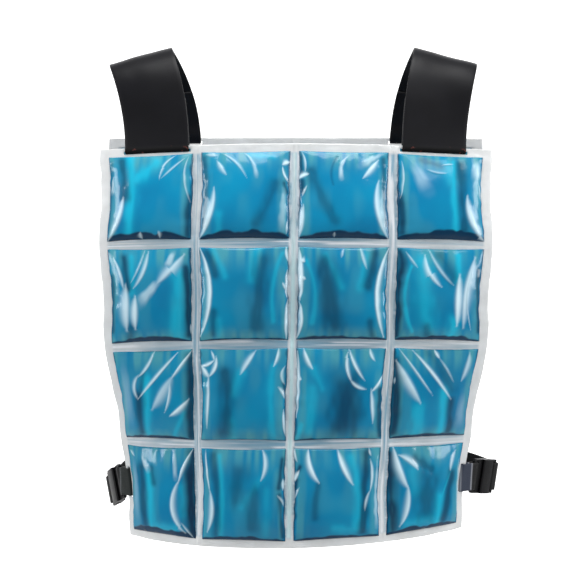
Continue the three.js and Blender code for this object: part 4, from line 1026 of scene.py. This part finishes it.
def cubic(points, count):
    """Points along a cubic curve with four control points."""
    t = np.linspace(0, 1, count)[:, None]
    p = [np.asarray(q, float) for q in points]
    return (1 - t)**3 * p[0] + 3 * (1 - t)**2 * t * p[1] + 3 * (1 - t) * t**2 * p[2] + t**3 * p[3]


class Route:
    """A path of close points, read by the distance along it."""

    def __init__(self, points):
        keep = np.concatenate([[True], np.linalg.norm(np.diff(points, axis=0), axis=1) > 1e-6])
        self.points = points[keep]
        steps = np.linalg.norm(np.diff(self.points, axis=0), axis=1)
        self.lengths = np.concatenate([[0], np.cumsum(steps)])
        self.total = self.lengths[-1]

    def at(self, distance):
        distance = np.clip(distance, 0, self.total)
        return np.array([np.interp(distance, self.lengths, self.points[:, k]) for k in range(3)])

    def along(self, distance):
        low, high = max(distance - 0.4, 0), min(distance + 0.4, self.total)
        return unit(self.at(high) - self.at(low))


def threaded_band(route, ends, crest, thickness, steps, tail_side):
    """Stations of a band that turns round a bar at each end and comes back along itself."""
    def frame_at(distance):
        share = min(max(distance / route.total, 0), 1)
        inside = share * route.total
        along = route.along(inside)
        end = ends[0] if share < crest["share"] else ends[1]
        to_crest = share / crest["share"] if share < crest["share"] else (1 - share) / (1 - crest["share"])
        mix = float(smooth(to_crest))
        across = unit(end["across"] * (1 - mix) + crest["across"] * mix)
        normal = unit(np.cross(across, along))
        return route.at(inside) + along * (distance - inside), across, normal, end["bow"] * (1 - mix)

    to_tail = tail_side * np.sign(np.dot(frame_at(0)[2], ends[0]["out"]))
    lap = thickness + CLEARANCE

    def turn_of(end):
        bar, tail, ease, radius = end["bar"], end["tail"], end["ease"], end["radius"]
        back = [(d, lap) for d in np.linspace(tail, bar + ease, 16)]
        spread = [(bar + share * ease, lap + (2 * radius - lap) * float(smooth(1 - share)))
                  for share in np.linspace(0.9, 0, 9)]
        turn = [(-CLEARANCE - radius * math.sin(angle), radius * (1 + math.cos(angle)))
                for angle in np.linspace(0, math.pi, 13)]
        return back + spread + turn

    start, finish = turn_of(ends[0]), turn_of(ends[1])
    path = start + [(d, 0) for d in np.linspace(ends[0]["bar"], route.total - ends[1]["bar"], steps)]
    path += [(route.total - d, depth) for d, depth in reversed(finish)]
    stations = []
    for distance, depth in path:
        at, across, normal, bow = frame_at(distance)
        stations.append((at + normal * to_tail * depth, across, bow))
    return stations


def shoulder_strap(name, side, reach):
    """Up outside the front film, over the shoulder and down outside the back film."""
    slope = math.radians(SHOULDER_SLOPE)
    radius = FILM / 2 + 1.5 * CLEARANCE + STRAP_THICKNESS / 2
    half = STRAP_WIDTH / 2
    top = np.array([side * reach * HALF_WIDTH, 0, STRAP_THICKNESS / 2])
    ends, halves = [], []
    for panel in PANELS.values():
        middle = side * (HALF_WIDTH - SIDE_FLANGE - POUCH_WIDTH * (0.5 + panel["strap"]))
        point, across, down, out = drape(panel, middle, SLOT_BAR)
        bow = bow_of(panel, (middle - half, SLOT_BAR), (middle, SLOT_BAR), (middle + half, SLOT_BAR))
        start = point + out * radius
        ends.append({"across": across, "out": out, "bow": bow, "radius": radius, "bar": FILM_HOLD,
                     "tail": STRAP_TAIL, "ease": 2 * TOP_FLANGE})
        rise = (top[2] - start[2]) * STRAP_UPRIGHT
        level = np.array([0, panel["facing"] * CHEST_DEPTH / 2 * STRAP_LEVEL, 0])
        halves.append(cubic([start, start - down * rise, top + level, top], 300))
    route = Route(np.concatenate([halves[0], halves[1][::-1]]))
    crest = {"share": Route(halves[0]).total / route.total,
             "across": np.array([math.cos(slope), 0, -side * math.sin(slope)])}
    stations = threaded_band(route, ends, crest, STRAP_THICKNESS, 150, -1)

    def ripple(s, w, total):
        calm = smooth(s, 70, 120) * smooth(total - s, 70, 120)
        return calm * (0.8 * noise(s / 60, w * 1.2 + side, 5) + 0.25 * noise(s / 18, w * 3, 6))

    obj, run = band(f"{name}_shoulder_strap_cloth", stations, STRAP_WIDTH, STRAP_THICKNESS, STRAP_LOOK,
                    [f"{name}_shoulder_strap"], ripple=ripple)
    height = np.array([vertex.co.z for vertex in obj.data.vertices]) / MM
    # The band STRAP_FOLD mm up from the strap's lowest point, which the material paints as shade and glints.
    store(obj, "fold", 1 - smooth(height - height.min(), STRAP_FOLD - 1, STRAP_FOLD + 1))


for strap_name, strap in STRAPS.items():
    shoulder_strap(strap_name, **strap)


def belt_exit(panel, side):
    """Where a belt leaves a film: at its slot, away along the film, out from the wearer, and up."""
    slot_edge = side * (HALF_WIDTH - SLOT_BAR)
    level = panel["belt"] * PANEL_HEIGHT
    point, across, down, out = drape(panel, slot_edge, level)
    half = WEB_WIDTH / 2
    bow = bow_of(panel, (slot_edge, level - half), (slot_edge, level), (slot_edge, level + half))
    return {"point": point, "away": across * side, "out": out, "up": -down, "bow": bow}


def buckle_seat(belt):
    """Where a fastened buckle lies: from where, along its length, out from the wearer, and up."""
    leave = belt_exit(PANELS["front"], belt["side"])
    swing, droop = math.radians(belt["swing"]), math.radians(belt["droop"])
    level = leave["away"] * math.cos(swing) - leave["out"] * math.sin(swing)
    along = unit(level * math.cos(droop) - leave["up"] * math.sin(droop))
    out = unit(np.cross(along, leave["up"]) * belt["side"])
    up = unit(np.cross(out, along) * belt["side"])
    start = leave["point"] + leave["away"] * (SLOT_BAR + belt["loop"] * BUCKLE_LENGTH)
    return leave, start, along, out, up


def front_web(name, belt):
    """The short loop of web round the front film's bar and the plug's bar."""
    leave, start, along, out, up = buckle_seat(belt)
    at_film = leave["point"] - leave["away"] * CLEARANCE
    at_plug = start + along * (BUCKLE_BAR + CLEARANCE)
    none = np.zeros(3)

    def on_film(away, outwards):
        return (at_film + leave["away"] * away + leave["out"] * outwards, leave["up"], leave["bow"])

    def on_plug(inwards, outwards):
        return (at_plug + along * inwards + out * outwards, up, none)

    film_turn = [on_film(FILM_TURN * math.cos(t), FILM_TURN * math.sin(t))
                 for t in np.linspace(math.pi / 2, 3 * math.pi / 2, 12)]
    plug_turn = [on_plug(BAR_TURN * math.cos(t), BAR_TURN * math.sin(t))
                 for t in np.linspace(-math.pi / 2, math.pi / 2, 12)]
    corners = [on_film(SLOT_BAR + 3 * CLEARANCE, FILM_TURN), *film_turn,
               on_film(SLOT_BAR + 3 * CLEARANCE, -FILM_TURN), on_plug(-BAR_HOLD, -BAR_TURN), *plug_turn,
               on_plug(-BAR_HOLD, BAR_TURN)]
    stations = []
    for here, there in zip(corners, corners[1:] + corners[:1]):
        steps = max(1, int(np.linalg.norm(there[0] - here[0]) / 1.0))
        for k in range(steps):
            t = k / steps
            stations.append(tuple(h * (1 - t) + q * t for h, q in zip(here, there)))
    obj, run = band(f"{name}_front_web_loop", stations, WEB_WIDTH, WEB_THICKNESS, FRONT_WEB_LOOKS[name],
                    [f"{name}_front_web"], closed=True)
    reach = (np.array([vertex.co for vertex in obj.data.vertices]) / MM - at_film) @ leave["away"]
    store(obj, "plate", 1 - smooth(reach, PLATE - 0.4, PLATE + 0.4))
    # Lines of painted highlight along the plate's edge.
    store(obj, "line", sum(np.exp(-(((reach - at) / 0.8) ** 2)) for at in WEB_HIGHLIGHT_LINES[name]))


def back_web(name, belt):
    """The web from the socket's bar to the back film, with its free tail at the socket."""
    leave, seat, along, out, up = buckle_seat(belt)
    back = belt_exit(PANELS["back"], belt["side"])
    start = seat + along * (BUCKLE_LENGTH - BUCKLE_BAR) - out * BAR_TURN
    finish = back["point"] - back["out"] * FILM_TURN
    bend = start + along * STRAIGHT_WEB
    edge = finish + back["away"] * FILM_HOLD
    pull = np.linalg.norm(bend - edge) * WEB_PULL
    route = Route(np.concatenate([
        np.linspace(start, bend, 20),
        cubic([bend, bend + along * pull, edge + back["away"] * pull, edge], 120),
        np.linspace(edge, finish, 20),
    ]))
    ends = [
        {"across": up, "out": out, "bow": np.zeros(3), "radius": BAR_TURN, "bar": BAR_HOLD,
         "tail": WEB_TAIL, "ease": 2 * BUCKLE_BAR},
        {"across": back["up"], "out": back["out"], "bow": back["bow"], "radius": FILM_TURN, "bar": FILM_HOLD,
         "tail": STITCHED_END, "ease": 2 * BUCKLE_BAR},
    ]
    crest = {"share": 0.5, "across": unit(up + back["up"])}
    stations = threaded_band(route, ends, crest, WEB_THICKNESS, 60, 1)
    obj, run = band(f"{name}_back_web_band", stations, WEB_WIDTH, WEB_THICKNESS, WEB_LOOK,
                    [f"{name}_back_web"])


def buckle_part(node, bevel):
    """A moulded part of a buckle, from its frame shape, with rounded edges."""
    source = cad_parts[node]
    mesh = source.data.copy()
    mesh.name = f"{node}_moulded"
    obj = bpy.data.objects.new(f"{node}_moulded", mesh)
    bpy.context.scene.collection.objects.link(obj)
    work = bmesh.new()
    work.from_mesh(mesh)
    bmesh.ops.remove_doubles(work, verts=work.verts, dist=1e-5)
    bmesh.ops.dissolve_limit(work, angle_limit=0.02, verts=work.verts, edges=work.edges)
    work.to_mesh(mesh)
    work.free()
    mesh.materials.clear()
    mesh.materials.append(PLASTIC)
    rounding = obj.modifiers.new("rounding", "BEVEL")
    rounding.width = bevel * MM
    rounding.segments = 3
    rounding.limit_method = "ANGLE"
    rounding.angle_limit = math.radians(35)
    mesh.polygons.foreach_set("use_smooth", [True] * len(mesh.polygons))
    normals = obj.modifiers.new("even_shading", "WEIGHTED_NORMAL")
    normals.keep_sharp = True
    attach(obj, "root")
    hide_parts(node)
    return obj


for belt_name, belt in BELTS.items():
    front_web(belt_name, belt)
    back_web(belt_name, belt)
    buckle_part(f"{belt_name}_buckle_plug", 0.45)
    buckle_part(f"{belt_name}_buckle_socket", 0.6)


# The studio.
def stage_plane(name, size, location, rotation, colour, glow=0.0):
    half = size / 2
    corners = [(-half, -half, 0), (half, -half, 0), (half, half, 0), (-half, half, 0)]
    mesh = bpy.data.meshes.new(name)
    mesh.from_pydata(corners, [], [(0, 1, 2, 3)])
    obj = bpy.data.objects.new(name, mesh)
    bpy.context.scene.collection.objects.link(obj)
    obj.location, obj.rotation_euler = location, rotation
    m = Nodes(name)
    m.set(Base_Color=colour, Roughness=0.9)
    if glow:
        m.shader.inputs["Emission Color"].default_value = (1, 1, 1, 1)
        m.shader.inputs["Emission Strength"].default_value = glow
    mesh.materials.append(m.material)
    return obj


def softbox(name, location, target, size, power, shape=(1, 1)):
    light = bpy.data.lights.new(name, "AREA")
    light.shape = "RECTANGLE"
    light.size, light.size_y = size * shape[0], size * shape[1]
    light.energy = power
    obj = bpy.data.objects.new(name, light)
    bpy.context.scene.collection.objects.link(obj)
    obj.location = location
    obj.rotation_euler = (Vector(target) - Vector(location)).to_track_quat("-Z", "Y").to_euler()
    return obj


stage_plane("studio_floor", 14, (0, 0, -1.45), (0, 0, 0), rgb(208, 208, 208))
stage_plane("backdrop", 4.4, (0, 3.2, -0.25), (math.pi / 2, 0, 0), rgb(240, 240, 240), glow=0.95)
MIDDLE = (0, 0, -0.25)
softbox("side_left", (-2.2, -0.6, 0.4), MIDDLE, 1.0, 28, (0.5, 1.6))
softbox("side_right", (2.2, -0.6, 0.4), MIDDLE, 1.0, 28, (0.5, 1.6))
softbox("top_light", (0, -0.6, 2.4), MIDDLE, 1.5, 60)
softbox("high_right", (1.3, -1.3, 2.2), MIDDLE, 1.0, 14)

world = bpy.data.worlds.new("studio_air")
bpy.context.scene.world = world
world.use_nodes = True
world.node_tree.nodes["Background"].inputs["Color"].default_value = (0.97, 0.98, 1, 1)
world.node_tree.nodes["Background"].inputs["Strength"].default_value = 0.4
bpy.context.scene.view_settings.view_transform = "Standard"
